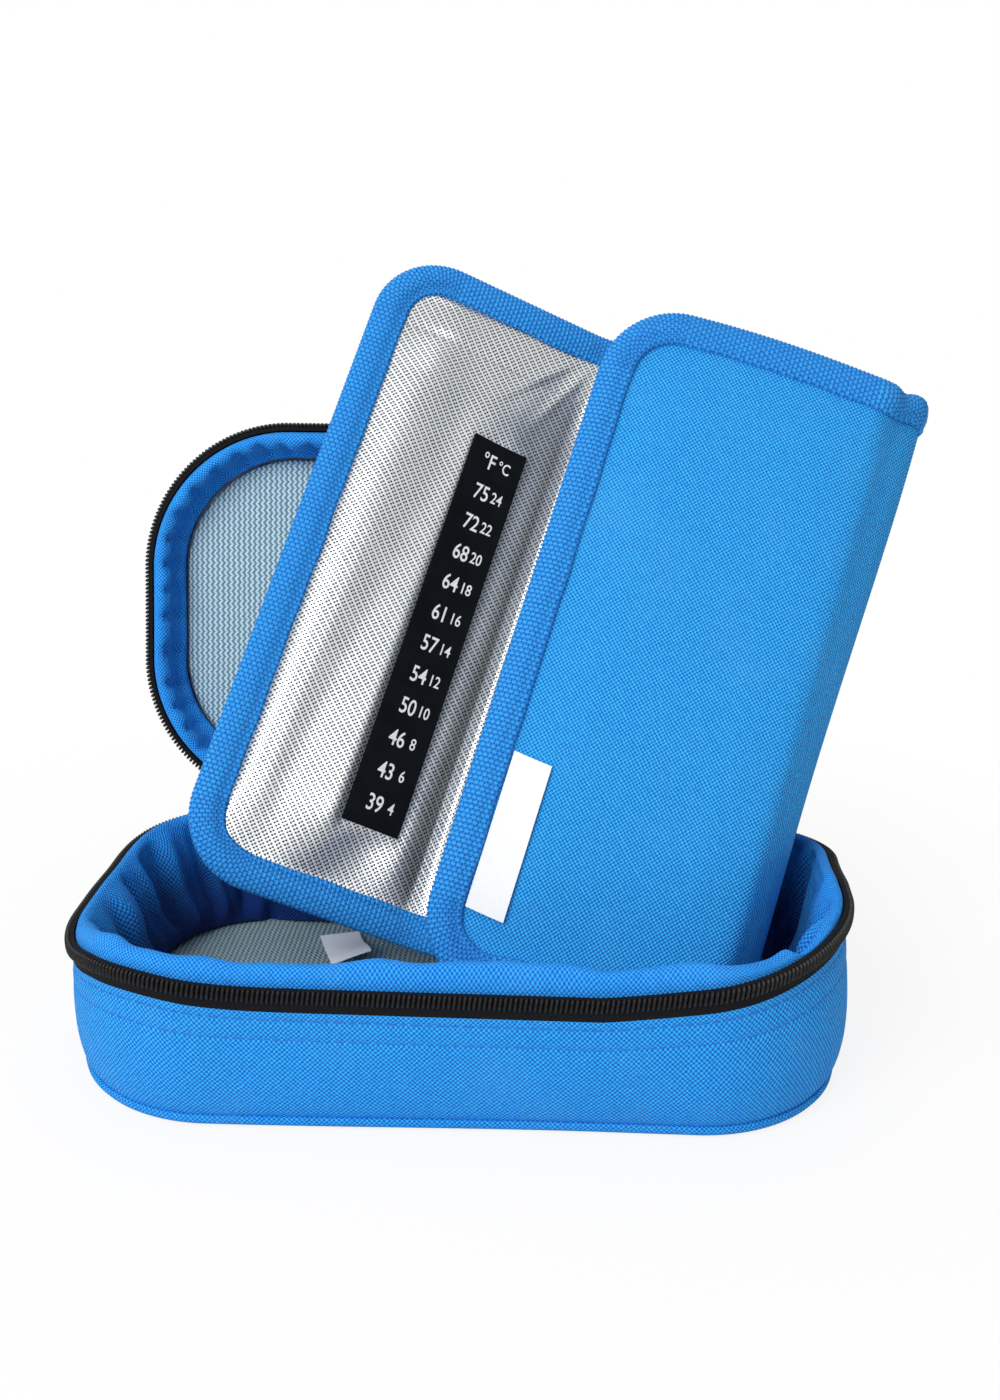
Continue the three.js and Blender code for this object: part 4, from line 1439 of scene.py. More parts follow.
def lid_place() -> Array:
    """Where the lid's upright tray stands when it is swung open.

    Returns:
        A 4 by 4 matrix.
    """
    swing = Matrix.Rotation(math.radians(180 - LID_OPENING), 4, "X")
    flat = Matrix.Translation((0, HINGE_Y, -LID_HEIGHT)) @ Matrix.Rotation(math.pi, 4, "Z")
    return np.array(Matrix.Translation((0, HINGE_Y, TRAY_HEIGHT)) @ swing @ flat)


@dataclass
class ClothHinge:
    """The cloth strip that joins the tray and the lid at the back."""

    shop: Workshop
    length: float = 96 * MM
    leg: float = 9 * MM
    radius: float = 0.8 * MM
    cloth: float = 0.8 * MM

    def build(self) -> None:
        """The strip, from the tray's wall round the fold to the lid's wall."""
        turn = math.radians(180 - LID_OPENING)
        along = np.array([math.sin(turn), -math.cos(turn)])
        centre = np.array([HINGE_Y, TRAY_HEIGHT])
        legs = np.linspace(0.1 * MM, self.leg, 10)
        tray_leg = [centre + (-self.radius, -d) for d in legs[::-1]]
        bend = np.linspace(math.pi, turn, 12)
        arc = [centre + self.radius * np.array([math.cos(a), math.sin(a)]) for a in bend]
        lid_leg = [arc[-1] + along * d for d in legs]
        line = np.array([*tray_leg, *arc, *lid_leg])
        travel = gone_along(line)
        x = np.linspace(-self.length / 2, self.length / 2, 60)
        points = np.zeros((len(x), len(line), 3))
        points[..., 0] = x[:, None]
        points[..., 1:] = line[None]
        piece = cloth_grid("hinge_cloth", points, x[:, None], travel, flip=True)
        apply_modifier(piece, "SOLIDIFY", thickness=self.cloth, offset=0.0)
        outward(piece)
        nodes = ("tray_hinge_strip", "hinge_fold", "lid_hinge_strip")
        self.shop.dress(piece, Finishes.cloth, Slot.CLOTH, nodes)
        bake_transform(piece)


@dataclass
class ZipSlider:
    """A zip slider on a back corner of the tray, with its pull tab."""

    side: Side
    body: Body
    shop: Workshop
    rim: RimOutline = RimOutline()
    angle: float = 30.0
    rim_height: float = TRAY_HEIGHT
    length: float = 10 * MM
    plate: float = 1.8 * MM
    drop: float = 5 * MM
    neck: float = 3.2 * MM
    pull_width: float = 7 * MM
    pull_length: float = 24 * MM
    pull_thickness: float = 1.4 * MM

    @property
    def name(self) -> str:
        """The side's word in the node names."""
        return self.side.name.lower()

    def place(self) -> Matrix:
        """The slider's own frame: X along the zip, Y outwards, Z up from the rim.

        Returns:
            A 4 by 4 matrix.
        """
        angle = math.radians(self.angle)
        side = self.side.value
        x = side * (self.rim.length / 2 - self.rim.corner + self.rim.corner * math.sin(angle))
        y = self.rim.width / 2 - self.rim.corner + self.rim.corner * math.cos(angle)
        return Matrix.Translation((x, y, self.rim_height)) @ Matrix.Rotation(-side * angle, 4, "Z")

    def build(self) -> None:
        """Makes the slider and its pull tab."""
        self.slider()
        self.pull_tab()

    def slider(self) -> None:
        """The slider: a front plate, a lip over the coil and a bridge that holds the tab."""
        half, back = self.length / 2, 2.2 * MM
        front = back + self.plate
        lip_low, lip_high = 0.7 * MM, 2.1 * MM
        ear_in, ear_out = self.neck / 2 + 0.3 * MM, self.neck / 2 + 1.7 * MM
        ear_front = front + self.neck / 2 + 1.7 * MM
        low, high = (-half, back, -self.drop), (half, front, lip_high)
        piece = block(f"{self.name}_zip_slider", low, high, 0.5 * MM, 3)
        low, high = (-half * 0.9, -0.6 * MM, lip_low), (half * 0.9, front - 0.5 * MM, lip_high)
        merge(piece, block("lip", low, high, 0.4 * MM), "UNION")
        for sign in (-1, 1):
            inner, outer = sorted((sign * ear_in, sign * ear_out))
            ear = block("ear", (inner, front - 0.6 * MM, -1.5 * MM), (outer, ear_front, 0.6 * MM), 0.4 * MM)
            merge(piece, ear, "UNION")
        piece.data.transform(self.place())
        node = f"{self.name}_slider"
        self.shop.mount(Body.BASE, piece, Finishes.enamel, Slot.METAL, node, angle=METAL_ANGLE)

    def pull_tab(self) -> None:
        """The tab: a narrow neck, a blade with rounded shoulders and a finger hole."""
        pivot = Vector((0, 5.9 * MM, -0.45 * MM))
        blade, thick, neck = self.pull_width / 2, self.pull_thickness / 2, self.neck / 2
        top, foot = -4.6 * MM, -self.pull_length
        piece = block(f"{self.name}_zip_pull", (-blade, -thick, foot), (blade, thick, top), 0.3 * MM, 2)
        merge(piece, block("neck", (-neck, -thick, top - 3 * MM), (neck, thick, neck), 0.5 * MM, 3), "UNION")
        hole = added(
            bpy.ops.mesh.primitive_cylinder_add, vertices=24, radius=blade / 2, depth=6 * MM,
            location=(0, 0, foot + blade), rotation=(math.pi / 2, 0, 0),
        )
        merge(piece, hole, "DIFFERENCE")
        for vertex in piece.data.vertices:
            below = foot + blade - vertex.co.z
            if below > 0 and abs(vertex.co.x) > blade / 2 + 0.2 * MM:
                vertex.co.x *= 1 - 0.55 * (below / blade) ** 2
        piece.data.transform(self.place() @ Matrix.Translation(pivot))
        node = f"{self.name}_pull_tab"
        self.shop.mount(self.body, piece, Finishes.enamel, Slot.METAL, node, angle=METAL_ANGLE)


# The liner


@dataclass(frozen=True)
class FoldedPath:
    """The line of the liner's outer cloth across its folds, from the flap's free edge to the cover's.

    It runs in the liner's own plane across its folds. The liner's inside is on the right of it. A pair
    of droops or draws is the least and what the softer end adds to it.
    """

    flap: float = 69 * MM
    back: float = 96 * MM
    spine: float = 20 * MM
    cover: float = 82 * MM
    length: float = 194 * MM
    flap_direction: float = -168.6
    back_direction: float = -14.4
    spine_turn: float = -116.7
    cover_turn: float = -54.6
    rounding: tuple[float, float, float] = (5 * MM, 2.5 * MM, 3.5 * MM)
    seat: Point = (-16.4 * MM, -0.462 * MM, 26.906 * MM)
    turn_right: float = 19.1
    lean_back: float = 32.5
    back_droop: Span = (1.6 * MM, 1.4 * MM)
    front_droop: float = 4.0 * MM
    corner_droop: float = 5.5 * MM
    ear_droop: float = 1.3 * MM
    cover_arch: float = 2.0 * MM
    flap_spread: float = 0.006
    cover_draw: Span = (0.022, 0.028)
    spine_swell: float = 3.0 * MM

    @property
    def folds(self) -> tuple[float, float, float]:
        """Travel to the flap fold, the spine fold and the cover fold."""
        return self.flap, self.flap + self.back, self.flap + self.back + self.spine

    @property
    def total(self) -> float:
        """Travel to the cover's free edge."""
        return self.folds[2] + self.cover

    def corners(self) -> tuple[Array, Array]:
        """The line's corners.

        Returns:
            The corner points and the directions of the stretches between them.
        """
        onward = np.cumsum([self.back_direction, self.spine_turn, self.cover_turn])
        angles = np.radians([self.flap_direction + 180, *onward])
        ways = np.stack([np.cos(angles), np.sin(angles)], -1)
        points = [-self.flap * ways[0], np.zeros(2)]
        for width, way in zip((self.back, self.spine, self.cover), ways[1:]):
            points.append(points[-1] + width * way)
        return np.array(points), ways

    def at(self, travel: Array) -> tuple[Array, Array]:
        """Points of the line and the direction of the liner's inside there.

        Args:
            travel: Distances along the line; beyond its ends it runs on straight.

        Returns:
            The points and the inward directions.
        """
        points, ways = self.corners()
        knots = np.array([0, *self.folds])
        k = np.clip(np.searchsorted(knots, travel, side="right") - 1, 0, 3)
        place = points[k] + ways[k] * (travel - knots[k])[..., None]
        heading = ways[k].copy()
        for corner, (fold, arm) in enumerate(zip(self.folds, self.rounding)):
            near = np.abs(travel - fold) < arm
            t = ((travel[near] - fold + arm) / (2 * arm))[:, None]
            p1 = points[corner + 1]
            p0, p2 = p1 - arm * ways[corner], p1 + arm * ways[corner + 1]
            place[near] = (1 - t) ** 2 * p0 + 2 * t * (1 - t) * p1 + t * t * p2
            heading[near] = unit((1 - t) * (p1 - p0) + t * (p2 - p1))
        return place, np.stack([heading[..., 1], -heading[..., 0]], -1)

    def stand(self) -> Matrix:
        """The liner's own frame: turned right, leaning back, standing on the mesh floor.

        Returns:
            A 4 by 4 matrix.
        """
        turn = Matrix.Rotation(math.radians(self.turn_right), 4, "Y")
        lean = Matrix.Rotation(-math.radians(self.lean_back), 4, "X")
        return Matrix.Translation(self.seat) @ turn @ lean

    def droop(self, travel: Array, along: Array) -> Array:
        """How far the soft panels hang below their flat place, away from the fold that they stand on.

        Args:
            travel: Distance across the folds.
            along: Distance along the folds, from the foot.

        Returns:
            The distance down along the folds.
        """
        flap_fold, spine_fold, cover_fold = self.folds
        high = along / self.length
        back = 1 - ramp(travel, flap_fold + 15 * MM, spine_fold - 10 * MM)
        front = ramp(travel, spine_fold + 2 * MM, cover_fold + 3 * MM)
        corner = ramp(travel, cover_fold, self.total) * (1 - high)
        ear = crease(travel, spine_fold + 12 * MM, 3.5 * MM) * ramp(high, 0.93, 1.0)
        arch = np.sin(np.pi * np.clip((travel - cover_fold) / self.cover, 0, 1)) * high**2
        hang = back * (self.back_droop[0] + self.back_droop[1] * high) + front * self.front_droop
        return hang + self.corner_droop * corner + self.ear_droop * ear - self.cover_arch * arch

    def drawn(self, travel: Array, along: Array) -> Array:
        """Travel as the soft panels lie: the cover drawn back to its fold, the flap spread at its top.

        Args:
            travel: Distance across the folds, as cut.
            along: Distance along the folds, from the foot.

        Returns:
            The distance across the folds, as it lies.
        """
        flap_fold, _, cover_fold = self.folds
        high = along / self.length
        flap = np.clip(flap_fold - travel, 0, None) * self.flap_spread * high
        cover = np.clip(travel - cover_fold, 0, None) * (self.cover_draw[0] + self.cover_draw[1] * (1 - high))
        return travel - flap - cover

    def swell(self, travel: Array, along: Array) -> Array:
        """How far the padded spine swells outwards near its top."""
        near_spine = crease(travel, self.folds[1] + 2 * MM, 9 * MM)
        return self.spine_swell * near_spine * ramp(along / self.length, 0.3, 0.95)

    def spots(self, travel: Array, along: Array, rise: Array) -> Array:
        """Points of the liner in the frame.

        Args:
            travel: Distance across the folds.
            along: Distance along the folds, from the foot.
            rise: Height above the outer cloth's middle, towards the inside.

        Returns:
            The points.
        """
        travel, along, rise = np.broadcast_arrays(travel, along, rise)
        place, inward = self.at(self.drawn(travel, along).ravel())
        flat = place + inward * (rise - self.swell(travel, along)).reshape(-1, 1)
        hung = (along - self.droop(travel, along)).reshape(-1, 1)
        local = np.concatenate([flat, hung, np.ones((flat.shape[0], 1))], -1)
        return (local @ np.array(self.stand()).T)[:, :3].reshape(*travel.shape, 3)


class Half(Enum):
    """The liner's two wraps, each bending at one hinge."""

    BACK = "back"
    FRONT = "front"


@dataclass(frozen=True)
class FoilForm:
    """The slack of the foil over its padding: groove, slump, ridges, ripples, puckers and pleat."""

    groove: float = 0.5 * MM
    groove_width: float = 1.8 * MM
    slump: float = 0.72
    slump_heights: Span = (15 * MM, 130 * MM)
    slump_from: float = 24 * MM
    slump_before_fold: float = 20 * MM
    ridge: float = 1.35 * MM
    ridge_pitch: float = 27 * MM
    ridge_slant: float = 60 * MM
    ripple: float = 0.09 * MM
    ripple_size: float = 9 * MM
    broad: float = 0.3 * MM
    broad_size: float = 24 * MM
    pucker: float = 0.49 * MM
    pucker_width: float = 1.6 * MM
    puckers: tuple[Span, ...] = ((0.45, -9.0), (-0.35, 6.0), (0.9, -20.0), (0.1, 1.5))
    pleat: float = 1.0 * MM


@dataclass
class Liner:
    """The tri-fold liner: outer cloth, padding, foil, edge tape, thermometer strip and label."""

    shop: Workshop
    path: FoldedPath = FoldedPath()
    slack: FoilForm = FoilForm()
    corner: float = 20 * MM
    cloth: float = 0.9 * MM
    foil_cloth: float = 0.4 * MM
    tape_cloth: float = 0.5 * MM
    film: float = 0.35 * MM
    satin: float = 0.35 * MM
    cloth_bend: float = 3 * MM
    foil_bend: float = 2.2 * MM
    tape_reach: float = 7.9 * MM
    tape_lip: float = 1.1 * MM
    rib: float = 1.3 * MM
    pad_margin: float = 12.8 * MM
    top_seam: float = 24 * MM
    pad: float = 5.2 * MM
    spine_pad: float = 2.4 * MM
    foil_rise: float = 1.4 * MM
    bulge: float = 1.6 * MM
    strip_width: float = 17.4 * MM
    strip_length: float = 122 * MM
    strip_from_fold: float = 12.8 * MM
    strip_foot: float = 26 * MM
    label_width: float = 11.4 * MM
    label_length: float = 42.8 * MM
    label_foot: float = 18.6 * MM
    label_slant: float = 0.16

    def build(self) -> None:
        """Makes every piece of the liner."""
        for half in Half:
            self.outer_wrap(half)
            self.foil(half)
            self.binding(half)
            self.binding_stitches(half)
        cores = (
            ("flap_padding", "inner_flap_foam", Body.FLAP),
            ("back_padding", "liner_back_foam", Body.LINER),
            ("spine_padding", "spine_foam", Body.LINER),
            ("cover_padding", "front_cover_foam", Body.COVER),
        )
        for core, span in zip(cores, self.pads()):
            self.padding(*core, span)
        self.foil_seam()
        self.thermometer()
        self.label()

    # Where things lie across the folds

    def span(self, half: Half) -> Span:
        """The travel that a wrap covers."""
        spine_fold = self.path.folds[1]
        return (0.0, spine_fold) if half is Half.BACK else (spine_fold, self.path.total)

    def pads(self) -> tuple[Span, ...]:
        """The padded stretches.

        Returns:
            The stretch of the flap, of the back, of the spine and of the cover.
        """
        flap_fold, spine_fold, cover_fold = self.path.folds
        return (
            (self.pad_margin, flap_fold - 6 * MM),
            (flap_fold + 6 * MM, spine_fold - 9.5 * MM),
            (spine_fold + 6.7 * MM, cover_fold - 5.5 * MM),
            (cover_fold + 6 * MM, self.path.total - self.pad_margin),
        )

    def strip_span(self) -> Span:
        """The thermometer strip's stretch."""
        high = self.path.folds[0] - self.strip_from_fold
        return high - self.strip_width, high

    def hinge(self, piece: Piece, half: Half, reach: float) -> None:
        """Bakes a finished piece's place into its mesh; the ends of its wrap's hinge are worked out but not
        used.

        Args:
            piece: The finished piece.
            half: The wrap that it belongs to.
            reach: How far from the fold the bend ends, on either side.
        """
        fold = self.path.folds[0] if half is Half.BACK else self.path.folds[2]
        place, _ = self.path.at(np.array([fold - reach, fold + reach]))
        ends = [self.path.stand() @ Vector((*point, self.path.length / 2)) for point in place]
        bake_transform(piece)

    def corner_cut(self, travel: Array) -> Array:
        """How much the rounded free corners take off the length at each end."""
        inside = np.clip(self.corner - np.minimum(travel, self.path.total - travel), 0, self.corner)
        return self.corner - np.sqrt(self.corner**2 - inside**2)

    def panel_grid(self, half: Half, inset: float, across: float, rows: int) -> tuple[Array, Array]:
        """A grid over a wrap, following its rounded corners.

        Args:
            half: The wrap.
            inset: How far inside the edges the grid stays.
            across: The spacing across the folds.
            rows: Points along the folds.

        Returns:
            The travel and the place along the folds of each grid point.
        """
        low, high = self.span(half)
        steps = round((high - low - inset) / across) + 1
        close = np.array([0, 0.15, 0.5, 1.0]) * MM
        if half is Half.BACK:
            low += inset
            travel = np.concatenate([low + close, np.linspace(low, high, steps)[1:]])
        else:
            high -= inset
            travel = np.concatenate([np.linspace(low, high, steps)[:-1], high - close[::-1]])
        cut = np.maximum(self.corner_cut(travel), inset)
        share = np.linspace(0, 1, rows)
        along = cut[:, None] + share[None] * (self.path.length - 2 * cut)[:, None]
        return np.broadcast_to(travel[:, None], along.shape), along

    # Surfaces

    def outer_rise(self, travel: Array, along: Array) -> Array:
        """The outer cloth's face: flat under the tape, gently puffed between.

        Args:
            travel: Distance across the folds.
            along: Distance along the folds.

        Returns:
            Its height, below zero outside.
        """
        flap_fold, spine_fold, cover_fold = self.path.folds
        reach = self.tape_reach - 1 * MM
        ends = plateau(along, reach, self.path.length - reach, 26 * MM)
        flap = plateau(travel, reach, flap_fold + 1 * MM, 22 * MM)
        back = plateau(travel, flap_fold - 1 * MM, spine_fold, 24 * MM)
        spine = plateau(travel, spine_fold, cover_fold + 6 * MM, 9 * MM) * 0.5
        cover = plateau(travel, cover_fold - 6 * MM, self.path.total - reach, 22 * MM)
        raised = np.maximum.reduce([flap, back, spine, cover])
        grid = np.stack([travel, along, np.zeros_like(travel)], -1)
        uneven = rumple(grid, 34 * MM, 2.0) * 0.25 * MM + rumple(grid, 12 * MM, 7.0) * 0.06 * MM
        return -0.5 * MM - (self.bulge * raised**0.8 + uneven * raised) * ends**0.8

    def foil_face(self, travel: Array, along: Array) -> Array:
        """The foil's face: drawn down at its edges, folds and top seam, raised over the padding.

        Args:
            travel: Distance across the folds.
            along: Distance along the folds.

        Returns:
            Its height on the inside.
        """
        slack, fold = self.slack, self.path.folds[0]
        foot, top = self.pad_margin, self.path.length - self.top_seam
        edge = self.path.length - self.tape_reach + 0.5 * MM
        rise = ramp(along, foot - 5 * MM, foot + 20 * MM) ** 0.6
        fall = 1 - 0.6 * ramp(along, top - 14 * MM, top + 2 * MM)
        fall = fall * (1 - ramp(along, edge - 6 * MM, edge) ** 2)
        groove = slack.groove * crease(along, top + 2 * MM, slack.groove_width)
        height = np.zeros_like(travel)
        for (low, high), pad in zip(self.pads(), (self.pad, self.pad, self.spine_pad, self.pad)):
            share = np.clip((travel - low + 4.5 * MM) / (high - low + 6.5 * MM), 0, 1)
            height += (4 * share * (1 - share)) ** 0.5 * (pad * rise * fall - groove)
        slump = ramp(travel, slack.slump_from, fold - slack.slump_before_fold) * (travel < fold)
        height *= 1 - slack.slump * slump * (0.5 + 0.5 * ramp(along, *slack.slump_heights))
        turns = (travel - 14 * MM) / slack.ridge_pitch
        ridge = np.cos(2 * np.pi * turns - (along - 90 * MM) / slack.ridge_slant)
        strip_low, strip_high = self.strip_span()
        strip_top = self.strip_foot + self.strip_length
        pressed = plateau(travel, strip_low - 3 * MM, strip_high + 3 * MM, 4 * MM)
        pressed = pressed * plateau(along, self.strip_foot - 6 * MM, strip_top + 6 * MM, 8 * MM)
        height += slack.ridge * ridge * np.clip(height / (4 * MM), 0, 1) * (1 - pressed)
        grid = np.stack([travel, along, np.zeros_like(travel)], -1)
        ripple = rumple(grid * np.array([1.0, 0.3, 1]), slack.ripple_size, 4.0) * slack.ripple
        broad = rumple(grid * np.array([1.0, 0.35, 1]), slack.broad_size, 12.0) * slack.broad
        loose = np.clip(height / (2 * MM), 0, 1) * (1 - 0.8 * pressed)
        pucker = slack.pucker * sum(
            crease(travel - slope * (along - top), fold + shift * MM, slack.pucker_width)
            for slope, shift in slack.puckers
        )
        near_seam = crease(along, top + 4 * MM, 13 * MM)
        pleat = plateau(travel, fold - 10 * MM, fold + 9 * MM, 8.5 * MM) * crease(along, top + 6 * MM, 8 * MM)
        return self.foil_rise + height + loose * (ripple + broad) + pucker * near_seam + slack.pleat * pleat

    def strip_face(self, travel: Array, along: Array) -> Array:
        """The underside of the thermometer strip, which is stiffer than the foil.

        Args:
            travel: Distance across the folds.
            along: Distance along the folds.

        Returns:
            Its height on the inside.
        """
        low, _ = self.strip_span()
        share = (travel - low) / self.strip_width
        places = np.linspace(0, 1, 7)
        under = [self.foil_face(np.full_like(along, low + p * self.strip_width), along) for p in places]
        left, middle, right = under[0], under[3], under[6]
        arch = 4 * middle - 2 * left - 2 * right
        bent = [(1 - p) * (left + p * arch) + p * right for p in places]
        clear = np.maximum.reduce([a - b for a, b in zip(under, bent)])
        return (1 - share) * (left + share * arch) + share * right + clear + 0.35 * MM

    def outer_wrap(self, half: Half) -> None:
        """The blue outer cloth of two panels and the fold between them.

        Args:
            half: The wrap.
        """
        travel, along = self.panel_grid(half, 0.3 * MM, 1.5 * MM, 96)
        points = self.path.spots(travel, along, self.outer_rise(travel, along))
        piece = cloth_grid(f"liner_{half.value}_cloth_wrap", points, travel, along, flip=True)
        thicken(piece, self.cloth)
        nodes = {
            Half.BACK: ("inner_flap_cloth", "flap_fold", "liner_back_cloth"),
            Half.FRONT: ("spine_fold", "spine_cloth", "cover_fold", "front_cover_cloth"),
        }
        self.shop.dress(piece, Finishes.cloth, Slot.CLOTH, nodes[half])
        self.hinge(piece, half, self.cloth_bend)
        low, high = self.span(half)
        high - low

    def foil(self, half: Half) -> None:
        """The foil lining of two panels and the fold between them.

        Args:
            half: The wrap.
        """
        travel, along = self.panel_grid(half, 0.6 * MM, 0.9 * MM, 150)
        rise = self.foil_face(travel, along)
        rise = rise - (rise - 0.8 * MM) * crease(travel, self.path.folds[1], 3 * MM)
        points = self.path.spots(travel, along, rise)
        piece = cloth_grid(f"liner_{half.value}_foil_face", points, travel, along)
        thicken(piece, self.foil_cloth)
        nodes = {
            Half.BACK: ("inner_flap_foil", "liner_back_foil"),
            Half.FRONT: ("spine_foil", "front_cover_foil"),
        }
        self.shop.dress(piece, Finishes.foil, Slot.FOIL, nodes[half], angle=70)
        self.hinge(piece, half, self.foil_bend)
        low, high = self.span(half)
        high - low

    def foil_seam(self) -> None:
        """The row of stitches that holds the foil down across the top of the padding."""
        pitch, ahead_by = 2.9 * MM, 0.3 * MM
        travel = np.arange(self.tape_reach + 1 * MM, self.path.folds[1] - 12 * MM, pitch)
        along = np.full_like(travel, self.path.length - self.top_seam + 2 * MM)
        here, there, above = (
            self.path.spots(s, l, self.foil_face(s, l) + 0.05 * MM)
            for s, l in ((travel, along), (travel + ahead_by, along), (travel, along + ahead_by))
        )
        frames = frames_along(here, there - here, np.cross(there - here, above - here))
        piece = stamp("foil_seam_stitching", thread_stitch(2.2 * MM, 0.42 * MM), frames)
        self.shop.dress(piece, Finishes.grey_thread, Slot.FOIL)
        self.hinge(piece, Half.BACK, self.foil_bend)

    def padding(self, name: str, node: str, body: Body, span: Span) -> None:
        """A foam core between the outer cloth and the foil.

        Args:
            name: The piece's name.
            node: The CAD node that it replaces.
            body: The body that it rides on.
            span: The travel that it fills.
        """
        low, high = span
        travel = np.linspace(low, high, max(8, round((high - low) / (3 * MM))))
        s, l = lattice(travel, np.linspace(self.pad_margin, self.path.length - self.top_seam, 50))
        top = self.foil_face(s, l) - 0.8 * MM
        under = np.minimum(self.outer_rise(s, l) + 1.2 * MM, top - 0.2 * MM)
        edge = np.ones(s.shape, bool)
        edge[1:-1, 1:-1] = False
        middle = (top + under) / 2
        upper, lower = (self.path.spots(s, l, np.where(edge, middle, face)) for face in (top, under))
        piece = joined([cloth_grid(name, upper, s, l), cloth_grid(f"{name}_under", lower, s, l, flip=True)])
        weld(piece)
        self.shop.pad(body, piece, node)

    # Edge tape

    def tape_path(self, half: Half, step: float) -> tuple[Array, Array, Array, Array]:
        """The edge that the tape follows: along the top, round the free edge and along the foot.

        Args:
            half: The wrap.
            step: The spacing of its points.

        Returns:
            Distance along the tape, travel and place along the folds of each point, and the outward
            direction there as rows of travel and length.
        """
        spine_fold, r, top = self.path.folds[1], self.corner, self.path.length
        run = (spine_fold if half is Half.BACK else self.path.total - spine_fold) - r
        arc, bend = math.pi / 2 * r, 1 / r
        runs = [
            (run, run + r, top - r, -1, 0, 90, 0),
            (arc, r, top - r, 0, 0, 90, bend),
            (top - 2 * r, r, top - r, 0, -1, 180, 0),
            (arc, r, r, 0, 0, 180, bend),
            (run, r, r, 1, 0, 270, 0),
        ]
        length = sum(stretch[0] for stretch in runs)
        gone = np.linspace(0, length, round(length / step) + 1)
        edge, out = follow(runs, r, gone)
        if half is Half.FRONT:
            edge[:, 0] = self.path.total - edge[:, 0]
            out[:, 0] *= -1
        return gone, edge[:, 0], edge[:, 1], out

    def tape_section(self) -> Array:
        """The tape's outer line from its inner edge, round the lip, to its outer edge.

        Returns:
            Offsets from the edge and heights along the line.
        """
        reach, lip = self.tape_reach, self.tape_lip
        face = (-reach, -reach + 0.5 * MM, -reach + 1.6 * MM, -reach * 0.5, -1.2 * MM, lip * 0.7)
        heights = (1.5, 2.3, 2.15, 2.9, 2.4, 1.5, 0.4, -0.7, -1.6, -2.1, -1.45, -1.6, -0.7)
        return through([(out, up * MM) for out, up in zip((*face, lip, *face[::-1]), heights)], 2)

    def tape_spots(self, half: Half, step: float, offset: Array, rise: Array) -> tuple[Array, Array]:
        """Points of the tape.

        Args:
            half: The wrap.
            step: The spacing along the tape.
            offset: Section offsets, as columns or as rows by columns.
            rise: Section heights likewise.

        Returns:
            Distances along the tape and the points.
        """
        gone, travel, along, out = self.tape_path(half, step)
        s = travel[:, None] + out[:, :1] * offset
        l = along[:, None] + out[:, 1:] * offset
        tight = crease(s, self.path.folds[1], 4 * MM)
        h = rise * (1 - np.where(rise > 0, 0.6, 0.5) * tight)
        return gone, self.path.spots(s, l, h)

    def binding(self, half: Half) -> None:
        """The ribbed tape folded over the wrap's edge.

        Args:
            half: The wrap.
        """
        step = self.rib / 4
        section = self.tape_section()
        ahead = np.gradient(section, axis=0)
        out = unit(np.stack([-ahead[:, 1], ahead[:, 0]], -1))
        gone = self.tape_path(half, step)[0]
        rib = 0.2 * MM * np.cos(2 * np.pi * gone / self.rib)[:, None]
        wander = rumple(np.stack([gone, gone * 0, gone * 0], -1), 13 * MM, 6.0)[:, None]
        inner = np.clip(-section[:, 0] / self.tape_reach, 0, 1) ** 2
        offset = section[:, 0] + out[:, 0] * rib + wander * inner * 0.6 * MM
        rise = section[:, 1] + out[:, 1] * rib
        gone, points = self.tape_spots(half, step, offset, rise)
        width = gone_along(section)
        name = f"liner_{half.value}_edge_tape"
        piece = cloth_grid(name, points, gone[:, None], width, flip=half is Half.FRONT)
        thicken(piece, self.tape_cloth)
        nodes = {
            Half.BACK: ("inner_flap_binding", "liner_back_foot_binding", "liner_back_top_binding"),
            Half.FRONT: ("front_cover_binding", "spine_foot_binding", "spine_top_binding"),
        }
        self.shop.dress(piece, Finishes.tape, Slot.TAPE, nodes[half], angle=SHEET_ANGLE)
        self.hinge(piece, half, self.cloth_bend)

    def binding_stitches(self, half: Half) -> None:
        """A row of stitches near the tape's edge on both faces.

        Args:
            half: The wrap.
        """
        pitch, inward_by = 3.1 * MM, 0.3 * MM
        row, one = -self.tape_reach + 1.5 * MM, np.ones(1)
        frames = []
        for rise, sign in ((2.18 * MM, 1), (-1.48 * MM, -1)):
            here, inner = (
                self.tape_spots(half, pitch, offset * one, rise * one)[1][:, 0]
                for offset in (row, row - inward_by)
            )
            along = np.gradient(here, axis=0)
            up = np.cross(along, inner - here) * (sign if half is Half.BACK else -sign)
            frames.append(frames_along(here[1:-1], along[1:-1], up[1:-1]))
        pattern = thread_stitch(2.3 * MM, 0.45 * MM)
        piece = stamp(f"liner_{half.value}_edge_stitching", pattern, np.concatenate(frames))
        self.shop.dress(piece, Finishes.thread, Slot.TAPE)
        self.hinge(piece, half, self.cloth_bend)

    # Thermometer strip and label

    def thermometer(self) -> None:
        """The black thermometer strip on the flap's foil, with its two columns of figures."""
        along = np.linspace(self.strip_foot, self.strip_foot + self.strip_length, 90)
        s, l = lattice(np.linspace(*self.strip_span(), 24), along)
        points = self.path.spots(s, l, self.strip_face(s, l) + self.film)
        piece = cloth_grid("thermometer_film", points, s, l)
        thicken(piece, self.film)
        self.shop.mount(Body.FLAP, piece, Finishes.film, Slot.FILM, "thermometer_strip")
        self.figures()

